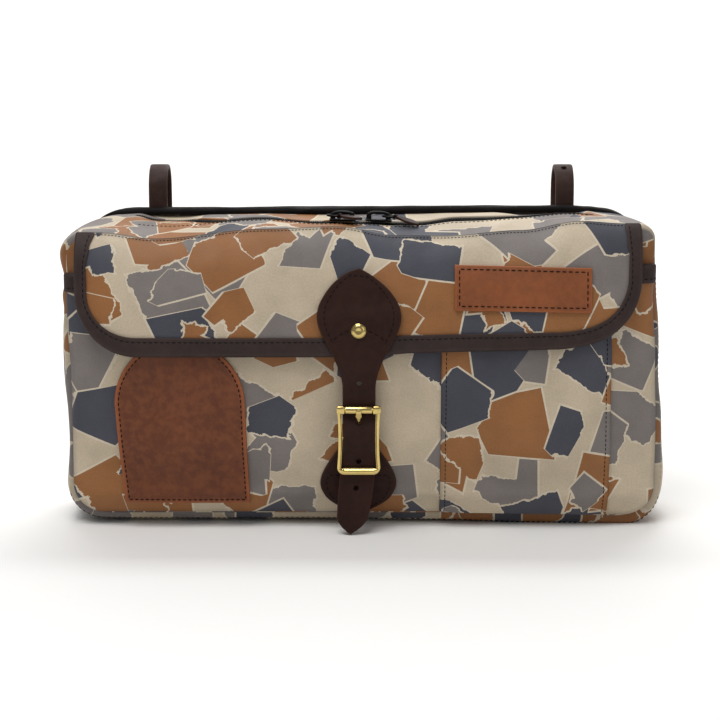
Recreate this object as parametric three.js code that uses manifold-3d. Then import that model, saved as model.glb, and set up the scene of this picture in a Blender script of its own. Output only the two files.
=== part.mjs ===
// Canoe thwart bag: a zipped canvas body with a front pocket under a buckled flap,
// and two leather loops at the back that hang it under a thwart.
// Millimetres, +Z up, front towards -Y, origin in the middle of the base.
import * as THREE from "three";
import { LoftGeometry } from "three/addons/geometries/LoftGeometry.js";
import { mergeVertices } from "three/addons/utils/BufferGeometryUtils.js";
import Module from "manifold-3d";

const { degToRad, lerp, smoothstep } = THREE.MathUtils;
const wasm = await Module();
wasm.setup();

// Body
const HALF_WIDTH = 187;
const DEPTH = 70;
const SEAM_LIFT = 8.5;
const FRONT_TOP = 190.5;
const BACK_TOP = 196;
const BACK_TILT = 1;
const FRONT_CORNER = 12;
const BACK_CORNER = 28;
const BOTTOM_CORNER = 20;
const BOTTOM_BULGE = 22;
const GUSSET_SHARES = [0, 0.11, 0.3, 0.5, 0.7, 0.89, 1];
const BACK_BULGE = 2;
const FRONT_TUCK = 2;
const SAG_START = 114;

// How far the gusset's sides stand out, by height
const SIDE_BULGE = [
  { z: 8.5, left: 8.6, right: 8.8 },
  { z: 28.5, left: 6, right: 7.7 },
  { z: 58.7, left: 4.3, right: 6.7 },
  { z: 89, left: 6.5, right: 4.3 },
  { z: 119, left: 6, right: 4.3 },
  { z: 149, left: 4, right: 4.2 },
  { z: 179, left: 6, right: 1.7 },
];
const RIDGE_CROWN = 6;

// Walls and the space between touching pieces
const CANVAS = 1.5;
const STRAP = 2.5;
const THWART_STRAP = 3;
const BINDING = 1.2;
const BINDING_WIDTH = 10.5;
const PATCH = 2;
const GAP = 0.4;
const BINDING_GAP = 0.5;

// Sag and lift of the front top seam
const TOP_WAVE = [
  { x: -187, lift: -2 },
  { x: -165, lift: -2.2 },
  { x: -132, lift: -6 },
  { x: -62, lift: 0.3 },
  { x: -16, lift: 1.8 },
  { x: 20, lift: -3.8 },
  { x: 50, lift: -4.2 },
  { x: 100, lift: -0.6 },
  { x: 137, lift: 5.2 },
  { x: 165, lift: 3.6 },
  { x: 187, lift: 3.6 },
];

// Rise of the top between its front and back seams, hollow under the sliders
const TOP_CROWN = [
  { x: -80, rise: 3 },
  { x: -64, rise: 2.8 },
  { x: -23, rise: -0.5 },
  { x: -11, rise: -0.8 },
  { x: 10, rise: 1.4 },
  { x: 36, rise: 1.95 },
  { x: 60, rise: 4 },
  { x: 90, rise: 4.3 },
  { x: 120, rise: 4.2 },
  { x: 150, rise: 3 },
];

// Zip along the middle of the top, bent back near its left end, in shares of the depth
const ZIP_BEND = [
  { x: -146, share: 0.74 },
  { x: -86, share: 0.5 },
];
const ZIP_SLOT = 0.08;
const ZIP_TAPE = { half: 0.19, thickness: 0.9 };
const ZIP_HALF_LENGTH = 150;
const ZIP_TAPE_END = 1;
const ZIP_COIL_END = 2;
const ZIP_COIL = [
  { y: -2.4, lift: -1.6 },
  { y: 2.4, lift: -1.6 },
  { y: 2.4, lift: -0.4 },
  { y: 1.2, lift: 0.2 },
  { y: -1.2, lift: 0.2 },
  { y: -2.4, lift: -0.4 },
];
const SLIDERS = [
  { name: "left", x: -13.3, foot: -1, turn: -36, droop: -1 },
  { name: "right", x: 10.1, foot: 1, turn: -32, droop: 3.6 },
];
const CROWN = { half: 8, leg: 3.4, wire: 1.9, springs: 1.8, rise: 3.4, sunk: 0.5, width: 2.4 };
const SLIDER_PLATE = { length: 8.6, tail: 2.8, shoulderAt: 4, shoulder: 4.2, nose: 3.2, thickness: 1.6 };
const LINK = { ring: 3.4, wire: 0.7, stretch: 1.35, height: 3.5, reach: 0.75 };
const PULL = { thickness: 1.6, sleeve: 1.7, bore: 1.2, sleeveHalf: 1.1, overlap: 0.5, droopPower: 1.2 };
const PULL_SHAPE = [
  { run: 0, half: 1.2 },
  { run: 3, half: 3.2 },
  { run: 7, half: 4.5 },
  { run: 11, half: 4.3 },
  { run: 14.5, half: 2.8 },
  { run: 16.5, half: 0.8 },
];

// Flap: leaves the top seam at a slant and turns down to hang
const FLAP = {
  middle: -3, half: 177, length: 82.5, leftCorner: 38, rightCorner: 46, start: 30, turn: 24,
  settle: 60, root: 1, rise: 1.6, sideFall: 0.38, sidePower: 10, sideSettle: 50, bindingStart: 5,
};
// How far the flap's lower edge is drawn up, across its width
const FLAP_DRAWN = [
  { x: 0, up: 0 },
  { x: 30, up: 2.6 },
  { x: 80, up: 3.6 },
  { x: 121, up: 4.7 },
  { x: 137, up: 5.8 },
  { x: 174, up: 5 },
];

// Front pocket: how full it stands and how far its edges sit off the body, by height
const POCKET = { top: 166.7, tilt: 3, full: 13, sidePower: 8, flatHalf: 187.5 };
const POCKET_PROFILE = [
  { z: 8.5, share: 0, seat: 3.6 },
  { z: 25, share: 0.62, seat: 3.6 },
  { z: 60, share: 1, seat: 4 },
  { z: 110, share: 1, seat: 4.4 },
  { z: 167, share: 0.3, seat: 6 },
];
const POCKET_ROWS = [40, 56, 78, 104, 128, 150];
const SLIP_POCKET = { left: 49.3, right: 157, low: 11, high: 133 };
const ARCH_PATCH = {
  low: 18, spring: 83, lowMiddle: -112.4, middle: -116, lowHalf: 40, half: 41.4, sweep: 86,
};
const FLAP_PATCH = { left: 57.3, right: 143, start: 26.8, end: 55.4, turn: 0.017, turnAt: 100, level: 1.15 };

// Closure strap: half width by distance from its upper point, and its weave through the buckle
const STRAP_X = -2.5;
const STRAP_START = 28.4;
const STRAP_STEP = { start: 48, end: 62 };
const STRAP_LEAVES = 84.5;
const STRAP_TIP = { z: 0.6, x: -8, leanFrom: 52, leanPower: 1.2 };
const STRAP_SHAPE = [
  { run: 0, half: 1.5 },
  { run: 2.5, half: 6 },
  { run: 7, half: 12.5 },
  { run: 17.4, half: 22 },
  { run: 28.6, half: 26.3 },
  { run: 40.8, half: 23.4 },
  { run: 47.4, half: 20 },
  { run: 56, half: 15.7 },
  { run: 64.5, half: 12.3 },
  { run: 71.8, half: 10.3 },
  { run: 159, half: 10.2 },
  { run: 169.6, half: 2 },
];
const STRAP_PATH = [
  { z: 0.6, y: -61.5 },
  { z: 41.7, y: -58.5 },
  { z: 62, y: -63 },
  { z: 81.3, y: -57.55 },
  { z: 114.1, y: -62.15 },
];
const STRAP_HOLES = [97.9, 47.9, 30.4];
const STRAP_HOLE_RADIUS = 1.7;
const PRONG_SLOT = { z: 72, halfWidth: 2.1, halfLength: 3.4 };
const RIVET = { run: 67, radius: 4.6, height: 2.6 };

// Centre-bar roller buckle
const BUCKLE = {
  x: -2.7, y: -62, barY: -57.6, barZ: 62, half: 13.6, high: 20.9, low: -22.1, waist: 1.6,
  rail: 2.3, barHeight: 3.3, thickness: 3.2, chamfer: 0.7, barRadius: 1.4,
  topCorner: 5, lowCorner: 4, innerTop: 2.5, innerLow: 2,
  rollerZ: 19.3, rollerRadius: 2.7, rollerBore: 1.6, rollerHalf: 8.5, pinRadius: 1.25,
  lugWidth: 1.5, lugHeight: 3.4, lugSunk: 0.15,
};
const PRONG = { radius: 1.1, eyeRadius: 3.1, eyeBore: 1.75, eyeHalf: 1.2 };
const PRONG_PATH = [
  { y: -58.2, z: 64.6 },
  { y: -59, z: 69 },
  { y: -62.6, z: 75 },
  { y: -65.8, z: 79.8 },
  { y: -66.5, z: 82.6 },
];
const CHAPE_X = -3;
const CHAPE_SLEEVE = { outer: 3.75, inner: 1.75, half: 10, slotHalf: 2.3, slotBack: -54 };
const CHAPE_SHAPE = [
  { z: 9.6, half: 2 },
  { z: 12, half: 6.5 },
  { z: 16, half: 13 },
  { z: 20, half: 18.3 },
  { z: 25, half: 22.5 },
  { z: 31, half: 24.3 },
  { z: 37, half: 23.2 },
  { z: 43, half: 20.4 },
  { z: 52, half: 14.5 },
  { z: 58, half: 10.2 },
  { z: 62, half: 10 },
];

// Leather ridge along the back top edge: section seen from the left, from the seam
const BACK_BINDING = { half: 156, cornerSweep: 50, endShare: 0.55 };
const BACK_BINDING_SECTION = [
  { y: -4.5, lift: 0.4 },
  { y: -4.5, lift: 3 },
  { y: -3, lift: 4.6 },
  { y: 1.6, lift: 4.6 },
  { y: 3.6, lift: 2.8 },
  { y: 3.6, lift: -10 },
  { y: 2.2, lift: -10 },
  { y: 2.2, lift: 0.4 },
];

// Thwart loops: middle line of the strap seen from the side
const THWART = {
  halfWidth: 6.2, seatY: 39.2, low: 92, archZ: 211, archRadius: 15,
  rivetZ: 150, studZ: 108, holeAt: 62, holeRadius: 2,
};
const THWART_LOOPS = [
  { name: "left", x: -137.6, punched: false },
  { name: "right", x: 135.6, punched: true },
];
const THWART_REAR = [
  { y: 70.7, z: 196 },
  { y: 67, z: 172 },
  { y: 54, z: 145 },
  { y: 46, z: 127 },
  { y: 44.1, z: 114 },
  { y: 44.1, z: 100 },
  { y: 44.1, z: 84 },
];
const STUD = { radius: 4, height: 3 };
const DOME = { rim: 0.35, shoulder: 0.72, shoulderAt: 0.82, sides: 12 };

const finishes = {
  canvas: { color: 0xb59a78, roughness: 0.75, metalness: 0 },
  darkLeather: { color: 0x3a2826, roughness: 0.5, metalness: 0 },
  chestnutLeather: { color: 0x92532f, roughness: 0.55, metalness: 0 },
  brass: { color: 0xd9b25a, roughness: 0.2, metalness: 1 },
  zipTape: { color: 0x17171a, roughness: 0.8, metalness: 0 },
  blackMetal: { color: 0x1c1c1e, roughness: 0.4, metalness: 0.6 },
};

const bag = new THREE.Group();

function place(name, finish, geometry) {
  const mesh = new THREE.Mesh(geometry, new THREE.MeshStandardMaterial(finishes[finish]));
  mesh.name = name;
  bag.add(mesh);
}

// Reads a column of a table between its rows, straight or with an eased rise and fall.
const straight = (share) => share;
const eased = (share) => smoothstep(share, 0, 1);

function along(table, key, value, at, ease = straight) {
  const next = table.findIndex((row) => row[key] >= at);
  if (next < 0) return table.at(-1)[value];
  if (next === 0) return table[0][value];
  const from = table[next - 1];
  const to = table[next];
  return lerp(from[value], to[value], ease((at - from[key]) / (to[key] - from[key])));
}

const spread = (count) => Array.from({ length: count + 1 }, (_, i) => i / count);

// Shares from -1 to 1 that crowd towards both ends.
const crowded = (count) => spread(count).map((share) => Math.sin((share - 0.5) * Math.PI));

// Turns a closed mesh so that its faces point out.
function facingOut(geometry) {
  const position = geometry.getAttribute("position");
  const index = geometry.index.array;
  const [a, b, c] = [new THREE.Vector3(), new THREE.Vector3(), new THREE.Vector3()];
  let volume = 0;
  for (let i = 0; i < index.length; i += 3) {
    a.fromBufferAttribute(position, index[i]);
    b.fromBufferAttribute(position, index[i + 1]);
    c.fromBufferAttribute(position, index[i + 2]);
    volume += a.dot(b.cross(c));
  }
  if (volume < 0) geometry.setIndex(Array.from(index).reverse());
  geometry.computeVertexNormals();
  return geometry;
}

// A wall from rows of cells, each with an outer and an inner point, closed round its edges.
function wall(rows) {
  const columns = rows[0].length;
  const count = rows.length * columns;
  const points = ["outer", "inner"].flatMap((face) => rows.flatMap((row) => row.map((cell) => cell[face])));
  const triangles = [];
  const quad = (a, b, c, d) => triangles.push(a, b, c, a, c, d);
  const edge = (a, b) => quad(a, b, b + count, a + count);
  for (let i = 0; i < rows.length - 1; i++) {
    for (let j = 0; j < columns - 1; j++) {
      const corner = i * columns + j;
      quad(corner, corner + columns, corner + columns + 1, corner + 1);
      quad(count + corner, count + corner + 1, count + corner + columns + 1, count + corner + columns);
    }
    edge((i + 1) * columns, i * columns);
    edge(i * columns + columns - 1, (i + 1) * columns + columns - 1);
  }
  for (let j = 0; j < columns - 1; j++) {
    edge(j, j + 1);
    edge(count - columns + j + 1, count - columns + j);
  }
  const geometry = new THREE.BufferGeometry().setFromPoints(points);
  geometry.setIndex(triangles);
  return facingOut(geometry);
}

// A section carried along a row of closed rings, each turned to run counterclockwise seen from the far end.
function sweep(rings) {
  const count = rings[0].length;
  const turning = new THREE.Vector3();
  const ahead = new THREE.Vector3();
  rings[0].forEach((point, i) => {
    turning.add(point.clone().cross(rings[0][(i + 1) % count]));
    ahead.add(rings[1][i]).sub(point);
  });
  const backwards = turning.dot(ahead) < 0;
  const ordered = backwards ? rings.map((ring) => [...ring].reverse()) : rings;
  return new LoftGeometry(ordered, { capStart: true, capEnd: true });
}

// The bare mesh of a geometry, with shared vertices merged
function bareMesh(geometry) {
  const bare = new THREE.BufferGeometry().copy(geometry);
  bare.deleteAttribute("normal");
  bare.deleteAttribute("uv");
  return mergeVertices(bare, 1e-4);
}

// Solid joins and cuts
function toSolid(geometry) {
  const merged = bareMesh(geometry);
  const vertProperties = new Float32Array(merged.getAttribute("position").array);
  const triVerts = new Uint32Array(merged.index.array);
  return new wasm.Manifold(new wasm.Mesh({ numProp: 3, vertProperties, triVerts }));
}

function toGeometry(solid) {
  const { vertProperties, triVerts } = solid.getMesh();
  const geometry = new THREE.BufferGeometry();
  geometry.setAttribute("position", new THREE.BufferAttribute(new Float32Array(vertProperties), 3));
  geometry.setIndex(Array.from(triVerts));
  geometry.computeVertexNormals();
  return geometry;
}

function join(...pieces) {
  return toGeometry(pieces.map(toSolid).reduce((sum, piece) => sum.add(piece)));
}

function cut(piece, ...tools) {
  return toGeometry(tools.map(toSolid).reduce((left, tool) => left.subtract(tool), toSolid(piece)));
}

// A profile of radius and height turned about its axis
function turned(profile, sides) {
  return new THREE.LatheGeometry(profile.map(([radius, at]) => new THREE.Vector2(radius, at)), sides);
}

// A round bar across the bag, and a ring about the same axis
function crossBar(radius, half, sides = 12) {
  return new THREE.CylinderGeometry(radius, radius, 2 * half, sides).rotateZ(Math.PI / 2);
}

function crossRing(outer, bore, half, sides = 14) {
  const profile = [[bore, -half], [outer, -half], [outer, half], [bore, half], [bore, -half]];
  return turned(profile, sides).rotateZ(Math.PI / 2);
}

// A domed head standing on +Z
function dome(radius, height) {
  const shoulder = [radius * DOME.shoulder, height * DOME.shoulderAt];
  const profile = [[0, 0], [radius, 0], [radius, height * DOME.rim], shoulder, [0, height]];
  return turned(profile, DOME.sides).rotateX(Math.PI / 2);
}

// Turns a piece that stands on +Z to stand along a direction at a point.
function standOn(geometry, point, direction) {
  const turn = new THREE.Quaternion().setFromUnitVectors(new THREE.Vector3(0, 0, 1), direction);
  return geometry.applyQuaternion(turn).translate(point.x, point.y, point.z);
}

// Outward direction of a surface of two parameters, for surfaces that face the front
function outward(skin, a, b) {
  const step = 0.5;
  const acrossA = skin(a + step, b).sub(skin(a - step, b));
  const acrossB = skin(a, b + step).sub(skin(a, b - step));
  const normal = acrossA.cross(acrossB).normalize();
  return normal.y > 0 ? normal.negate() : normal;
}

const raised = (skin, a, b, lift) => skin(a, b).addScaledVector(outward(skin, a, b), lift);

// A cell of a wall that lies on a surface, from its underside up
const layer = (skin, a, b, lift, thickness) => ({
  outer: raised(skin, a, b, lift + thickness),
  inner: raised(skin, a, b, lift),
});

// Surfaces of the bag
const frontTop = (x) => FRONT_TOP + along(TOP_WAVE, "x", "lift", x, eased);
const backTop = (x) => BACK_TOP + (BACK_TILT * x) / HALF_WIDTH;

const topCrown = (x) => along(TOP_CROWN, "x", "rise", x, eased);
const zipShare = (x) => along(ZIP_BEND, "x", "share", x, eased);
const sideBulge = (x, z) => along(SIDE_BULGE, "z", x < 0 ? "left" : "right", z, eased);

function topSkin(x, share) {
  const crown = 4 * topCrown(x) * share * (1 - share);
  return new THREE.Vector3(x, DEPTH * (share - 0.5), lerp(frontTop(x), backTop(x), share) + crown);
}

function flapSection(run) {
  const steps = 40;
  let reach = 0;
  let drop = 0;
  for (let i = 0; i < steps; i++) {
    const at = (run * (i + 0.5)) / steps;
    const fall = degToRad(lerp(90, FLAP.start, Math.exp(-at / FLAP.turn)));
    reach += (Math.cos(fall) * run) / steps;
    drop += (Math.sin(fall) * run) / steps;
  }
  return { reach, drop };
}

function flapSkin(x, run) {
  const { reach, drop } = flapSection(run);
  const edge = Math.abs((x - FLAP.middle) / FLAP.half) ** FLAP.sidePower;
  const side = 1 - FLAP.sideFall * edge * smoothstep(run, 0, FLAP.sideSettle);
  const wave = (frontTop(x) - FRONT_TOP) * (1 - smoothstep(run, 0, FLAP.settle));
  return new THREE.Vector3(x, -DEPTH / 2 - FLAP.root - reach * side, FRONT_TOP + FLAP.rise + wave - drop);
}

function pocketSkin(x, z) {
  const side = 1 - Math.abs(x / POCKET.flatHalf) ** POCKET.sidePower;
  const share = along(POCKET_PROFILE, "z", "share", z, eased);
  const seat = along(POCKET_PROFILE, "z", "seat", z, eased);
  return new THREE.Vector3(x, -DEPTH / 2 - seat - POCKET.full * share * side, z);
}

const pocketTop = (x) => POCKET.top + (POCKET.tilt * x) / HALF_WIDTH;

// One side of the body's outline from the bottom seam up: place and outward direction
function sideChain(sign, top, corner) {
  const chain = [];
  const add = (x, z, out) => chain.push({ x: sign * x, z, out: new THREE.Vector2(sign * out.x, out.y) });
  const arc = (centreX, centreZ, radius, from, steps) => spread(steps).forEach((share) => {
    const angle = degToRad(from + 90 * share);
    const out = new THREE.Vector2(Math.cos(angle), Math.sin(angle));
    add(centreX + radius * out.x, centreZ + radius * out.y, out);
  });
  const low = SEAM_LIFT + BOTTOM_CORNER;
  const high = top - corner;
  arc(HALF_WIDTH - BOTTOM_CORNER, low, BOTTOM_CORNER, -90, 5);
  spread(5).slice(1, -1).forEach((share) => add(HALF_WIDTH, lerp(low, high, share), new THREE.Vector2(1, 0)));
  arc(HALF_WIDTH - corner, high, corner, 0, 4);
  return chain;
}

// The gusset's edge, from one end of the zip, down, along the bottom and up to the other end
function gussetEdge(topAt, corner) {
  const topEnd = (sign) => spread(2).slice(0, -1).map((share) => {
    const x = sign * lerp(ZIP_HALF_LENGTH + GAP, HALF_WIDTH - corner, share);
    return { x, z: topAt(x), out: new THREE.Vector2(0, 1) };
  });
  const bottom = spread(4).slice(1, -1).map((share) => (
    { x: (HALF_WIDTH - BOTTOM_CORNER) * (2 * share - 1), z: SEAM_LIFT, out: new THREE.Vector2(0, -1) }
  ));
  return [
    ...topEnd(-1), ...sideChain(-1, topAt(-HALF_WIDTH), corner).reverse(), ...bottom,
    ...sideChain(1, topAt(HALF_WIDTH), corner), ...topEnd(1).reverse(),
  ];
}

// Gusset: bulges between its seams and lies flat where it meets the ground
function makeGusset() {
  const front = gussetEdge(frontTop, FRONT_CORNER);
  const back = gussetEdge(backTop, BACK_CORNER);
  const rows = front.map((station, i) => GUSSET_SHARES.map((share) => {
    const { out } = station;
    const side = sideBulge(station.x, station.z);
    const fullness = lerp(side, out.y > 0 ? topCrown(station.x) : BOTTOM_BULGE, out.y ** 2);
    const bulge = 4 * fullness * share * (1 - share);
    const x = lerp(station.x, back[i].x, share) + out.x * bulge;
    const z = Math.max(lerp(station.z, back[i].z, share) + out.y * bulge, 0);
    const outer = new THREE.Vector3(x, DEPTH * (share - 0.5), z);
    const inner = outer.clone().add(new THREE.Vector3(-out.x * CANVAS, 0, -out.y * CANVAS));
    return { outer, inner };
  }));
  return wall(rows);
}

// Front or back panel: a flat wall whose top edge follows its seam
function makePanel(side, topAt, corner, tuck, bulge) {
  const left = sideChain(-1, topAt(-HALF_WIDTH) - tuck, corner);
  const right = sideChain(1, topAt(HALF_WIDTH) - tuck, corner);
  const seam = side * (DEPTH / 2 + GAP);
  const rows = left.map((station, i) => spread(8).map((share) => {
    const x = lerp(station.x, right[i].x, share);
    const level = lerp(station.z, right[i].z, share);
    const sag = topAt(x) - lerp(topAt(-HALF_WIDTH), topAt(HALF_WIDTH), share);
    const z = level + sag * smoothstep(level, SAG_START, FRONT_TOP - corner);
    const height = (level - SEAM_LIFT) / (FRONT_TOP - SEAM_LIFT);
    const swell = bulge * THREE.MathUtils.clamp(6 * height * (1 - height) * (1 - (2 * share - 1) ** 4), 0, 1);
    const inner = new THREE.Vector3(x, seam + side * swell, z);
    return { outer: inner.clone().setY(inner.y + side * CANVAS), inner };
  }));
  return wall(rows);
}

// A strip of the top, running the length of the zip between two edges given by x
function makeTopStrip(from, to, below, thickness, half) {
  const rows = spread(24).map((share) => spread(2).map((across) => {
    const x = lerp(-half, half, share);
    const outer = topSkin(x, lerp(from(x), to(x), across));
    outer.z -= below;
    return { outer, inner: outer.clone().setZ(outer.z - thickness) };
  }));
  return wall(rows);
}

function makeZipTape() {
  const edge = (side) => (x) => zipShare(x) + side * ZIP_TAPE.half;
  const half = ZIP_HALF_LENGTH - ZIP_TAPE_END;
  return makeTopStrip(edge(-1), edge(1), CANVAS + GAP, ZIP_TAPE.thickness, half);
}

function makeTopBand(side) {
  const seam = () => (side < 0 ? 0 : 1);
  return makeTopStrip(seam, (x) => zipShare(x) + side * ZIP_SLOT, 0, CANVAS, ZIP_HALF_LENGTH);
}

function makeZipCoil() {
  const half = ZIP_HALF_LENGTH - ZIP_COIL_END;
  return sweep(spread(24).map((share) => ZIP_COIL.map(({ y, lift }) => {
    const x = lerp(-half, half, share);
    const point = topSkin(x, zipShare(x) + y / DEPTH);
    return point.setZ(point.z + lift);
  })));
}

// Zip slider: a tapered plate with an arched crown
function makeSlider() {
  const { half, leg, wire, springs, rise, sunk, width } = CROWN;
  const { length, tail, shoulderAt, shoulder, nose, thickness } = SLIDER_PLATE;
  const plate = new THREE.Shape();
  plate.moveTo(-length, -tail).lineTo(shoulderAt, -shoulder).lineTo(length, -nose);
  plate.lineTo(length, nose).lineTo(shoulderAt, shoulder).lineTo(-length, tail).closePath();
  const crown = new THREE.Shape();
  crown.moveTo(half, -sunk).absellipse(0, springs, half, rise, 0, Math.PI, false, 0);
  crown.lineTo(-half, -sunk).lineTo(leg - half, -sunk);
  crown.absellipse(0, springs, half - leg, rise - wire, Math.PI, 0, true, 0);
  crown.lineTo(half - leg, -sunk).closePath();
  const square = { bevelEnabled: false, curveSegments: 6 };
  const plateSolid = new THREE.ExtrudeGeometry(plate, { depth: thickness, ...square });
  const crownSolid = new THREE.ExtrudeGeometry(crown, { depth: width, ...square });
  return join(plateSolid, crownSolid.rotateX(Math.PI / 2).translate(0, width / 2, thickness));
}

// Wire link round one foot of the crown, and the leather pull sleeved on its far side
function makeLink() {
  const ring = new THREE.TorusGeometry(LINK.ring, LINK.wire, 5, 12);
  return facingOut(bareMesh(ring.scale(LINK.stretch, 1, 1).translate(LINK.reach, 0, LINK.height)));
}

function makePull(droop) {
  const farBar = LINK.reach + LINK.ring * LINK.stretch;
  const length = PULL_SHAPE.at(-1).run;
  const rows = PULL_SHAPE.map(({ run, half }) => spread(2).map((across) => {
    const x = farBar + PULL.sleeve - PULL.overlap + run;
    const z = LINK.height + PULL.thickness / 2 - droop * (run / length) ** PULL.droopPower;
    const outer = new THREE.Vector3(x, lerp(-half, half, across), z);
    return { outer, inner: outer.clone().setZ(z - PULL.thickness) };
  }));
  const sleeve = crossRing(PULL.sleeve, PULL.bore, PULL.sleeveHalf, 12).rotateZ(Math.PI / 2);
  return join(wall(rows), sleeve.translate(farBar, 0, LINK.height));
}

// Flap, with rounded lower corners and a lower edge drawn up towards the right
function hemSkin(x, run) {
  const up = along(FLAP_DRAWN, "x", "up", x, eased);
  return flapSkin(x, run - up * (run / FLAP.length) ** 2);
}

function flapReach(side, run) {
  const corner = side < 0 ? FLAP.leftCorner : FLAP.rightCorner;
  const past = Math.max(run - (FLAP.length - corner), 0);
  return FLAP.half - corner + Math.sqrt(Math.max(corner ** 2 - past ** 2, 0));
}

function makeFlap() {
  const straightRun = FLAP.length - FLAP.rightCorner;
  const sides = spread(9).map((share) => straightRun * share ** 1.3);
  const angles = spread(7).slice(1).map((share) => share * (Math.PI / 2));
  const corners = angles.map((angle) => straightRun + FLAP.rightCorner * Math.sin(angle));
  return wall([...sides, ...corners].map((run) => crowded(16).map((share) => (
    layer(hemSkin, FLAP.middle + flapReach(share, run) * share, run, -CANVAS, CANVAS)
  ))));
}

// Leather folded over an edge: a U section carried along edge points with their inward directions
function foldedBinding(skin, edge, wallThickness) {
  const over = BINDING_GAP + BINDING;
  const under = -wallThickness - BINDING_GAP;
  const section = [
    [BINDING_WIDTH, BINDING_GAP], [BINDING_WIDTH, over], [-over, over], [-over, under - BINDING],
    [BINDING_WIDTH, under - BINDING], [BINDING_WIDTH, under],
    [-BINDING_GAP, under], [-BINDING_GAP, BINDING_GAP],
  ];
  return sweep(edge.map(({ a, b, inA, inB }) => section.map(([inset, lift]) => (
    raised(skin, a + inA * inset, b + inB * inset, lift)
  ))));
}

function makeFlapBinding() {
  const angles = spread(7).slice(1).map((share) => share * (Math.PI / 2));
  const halfEdge = (sign, corner) => {
    const straightRun = FLAP.length - corner;
    const down = spread(7).map((share) => lerp(FLAP.bindingStart, straightRun, share));
    return [
      ...down.map((run) => ({ a: FLAP.middle + sign * FLAP.half, b: run, inA: -sign, inB: 0 })),
      ...angles.map((angle) => ({
        a: FLAP.middle + sign * (FLAP.half - corner * (1 - Math.cos(angle))),
        b: straightRun + corner * Math.sin(angle),
        inA: -sign * Math.cos(angle),
        inB: -Math.sin(angle),
      })),
    ];
  };
  const left = halfEdge(-1, FLAP.leftCorner);
  const right = halfEdge(1, FLAP.rightCorner).reverse();
  const bottom = crowded(14).slice(1, -1).map((share) => (
    { a: lerp(left.at(-1).a, right[0].a, (share + 1) / 2), b: FLAP.length, inA: 0, inB: -1 }
  ));
  return foldedBinding(hemSkin, [...left, ...bottom, ...right], CANVAS);
}

// Heights of the rows of the pocket's wall, shared by what lies on it
function pocketLevels(low, high) {
  const levels = sideChain(1, FRONT_TOP, FRONT_CORNER).map(({ z }) => z);
  const corner = levels.filter((z) => z <= SEAM_LIFT + BOTTOM_CORNER);
  const inside = [...corner, ...POCKET_ROWS].filter((z) => z > low + 1 && z < high - 1);
  return [low, ...inside, high];
}

function pocketHalf(z) {
  const below = Math.max(SEAM_LIFT + BOTTOM_CORNER - z, 0);
  return HALF_WIDTH - BOTTOM_CORNER + Math.sqrt(BOTTOM_CORNER ** 2 - below ** 2);
}

// Front pocket, its bound mouth and the narrow slip pocket on it
function makePocket() {
  return wall(pocketLevels(SEAM_LIFT, POCKET.top).map((z) => crowded(14).map((share) => {
    const x = pocketHalf(z) * share;
    const level = z + (pocketTop(x) - POCKET.top) * smoothstep(z, POCKET_ROWS.at(-3), POCKET.top);
    return layer(pocketSkin, x, level, -CANVAS, CANVAS);
  })));
}

function makePocketBinding() {
  const edge = crowded(18).map((share) => {
    const x = (HALF_WIDTH - GAP) * share;
    return { a: x, b: pocketTop(x), inA: 0, inB: -1 };
  });
  return foldedBinding(pocketSkin, edge, CANVAS);
}

function makeSlipPocket() {
  const { left, right, low, high } = SLIP_POCKET;
  return wall(pocketLevels(low, high).map((z) => spread(6).map((across) => (
    layer(pocketSkin, lerp(left, right, across), z, GAP, CANVAS)
  ))));
}

function makeArchPatch() {
  const { low, spring, lowMiddle, middle, lowHalf, half, sweep: archSweep } = ARCH_PATCH;
  const sides = pocketLevels(low, spring).map((z) => {
    const share = (z - low) / (spring - low);
    return { z, middle: lerp(lowMiddle, middle, share), half: lerp(lowHalf, half, share) };
  });
  const arch = spread(6).slice(1).map((share) => {
    const angle = share * degToRad(archSweep);
    return { z: spring + half * Math.sin(angle), middle, half: half * Math.cos(angle) };
  });
  return wall([...sides, ...arch].map((row) => spread(6).map((across) => (
    layer(pocketSkin, row.middle + lerp(-row.half, row.half, across), row.z, GAP, PATCH)
  ))));
}

// The flap's patch lies level, whatever the wave of the seam above it.
function makeFlapPatch() {
  const { left, right, start, end, turn, turnAt, level } = FLAP_PATCH;
  return wall(spread(4).map((share) => spread(8).map((across) => {
    const x = lerp(left, right, across);
    const run = lerp(start, end, share);
    const wave = (frontTop(x) - frontTop(turnAt)) * (1 - smoothstep(run, 0, FLAP.settle));
    return layer(flapSkin, x, run + level * wave + turn * (x - turnAt), GAP, PATCH);
  })));
}

// Closure strap: on the flap, over its bound edge, and then woven through the buckle
function strapLift(run) {
  const step = smoothstep(run, STRAP_STEP.start, STRAP_STEP.end);
  return lerp(GAP, BINDING_GAP + BINDING + GAP, step);
}

function strapMiddle(z) {
  const lean = Math.max(STRAP_TIP.leanFrom - z, 0) / (STRAP_TIP.leanFrom - STRAP_TIP.z);
  return lerp(STRAP_X, STRAP_TIP.x, lean ** STRAP_TIP.leanPower);
}

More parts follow.
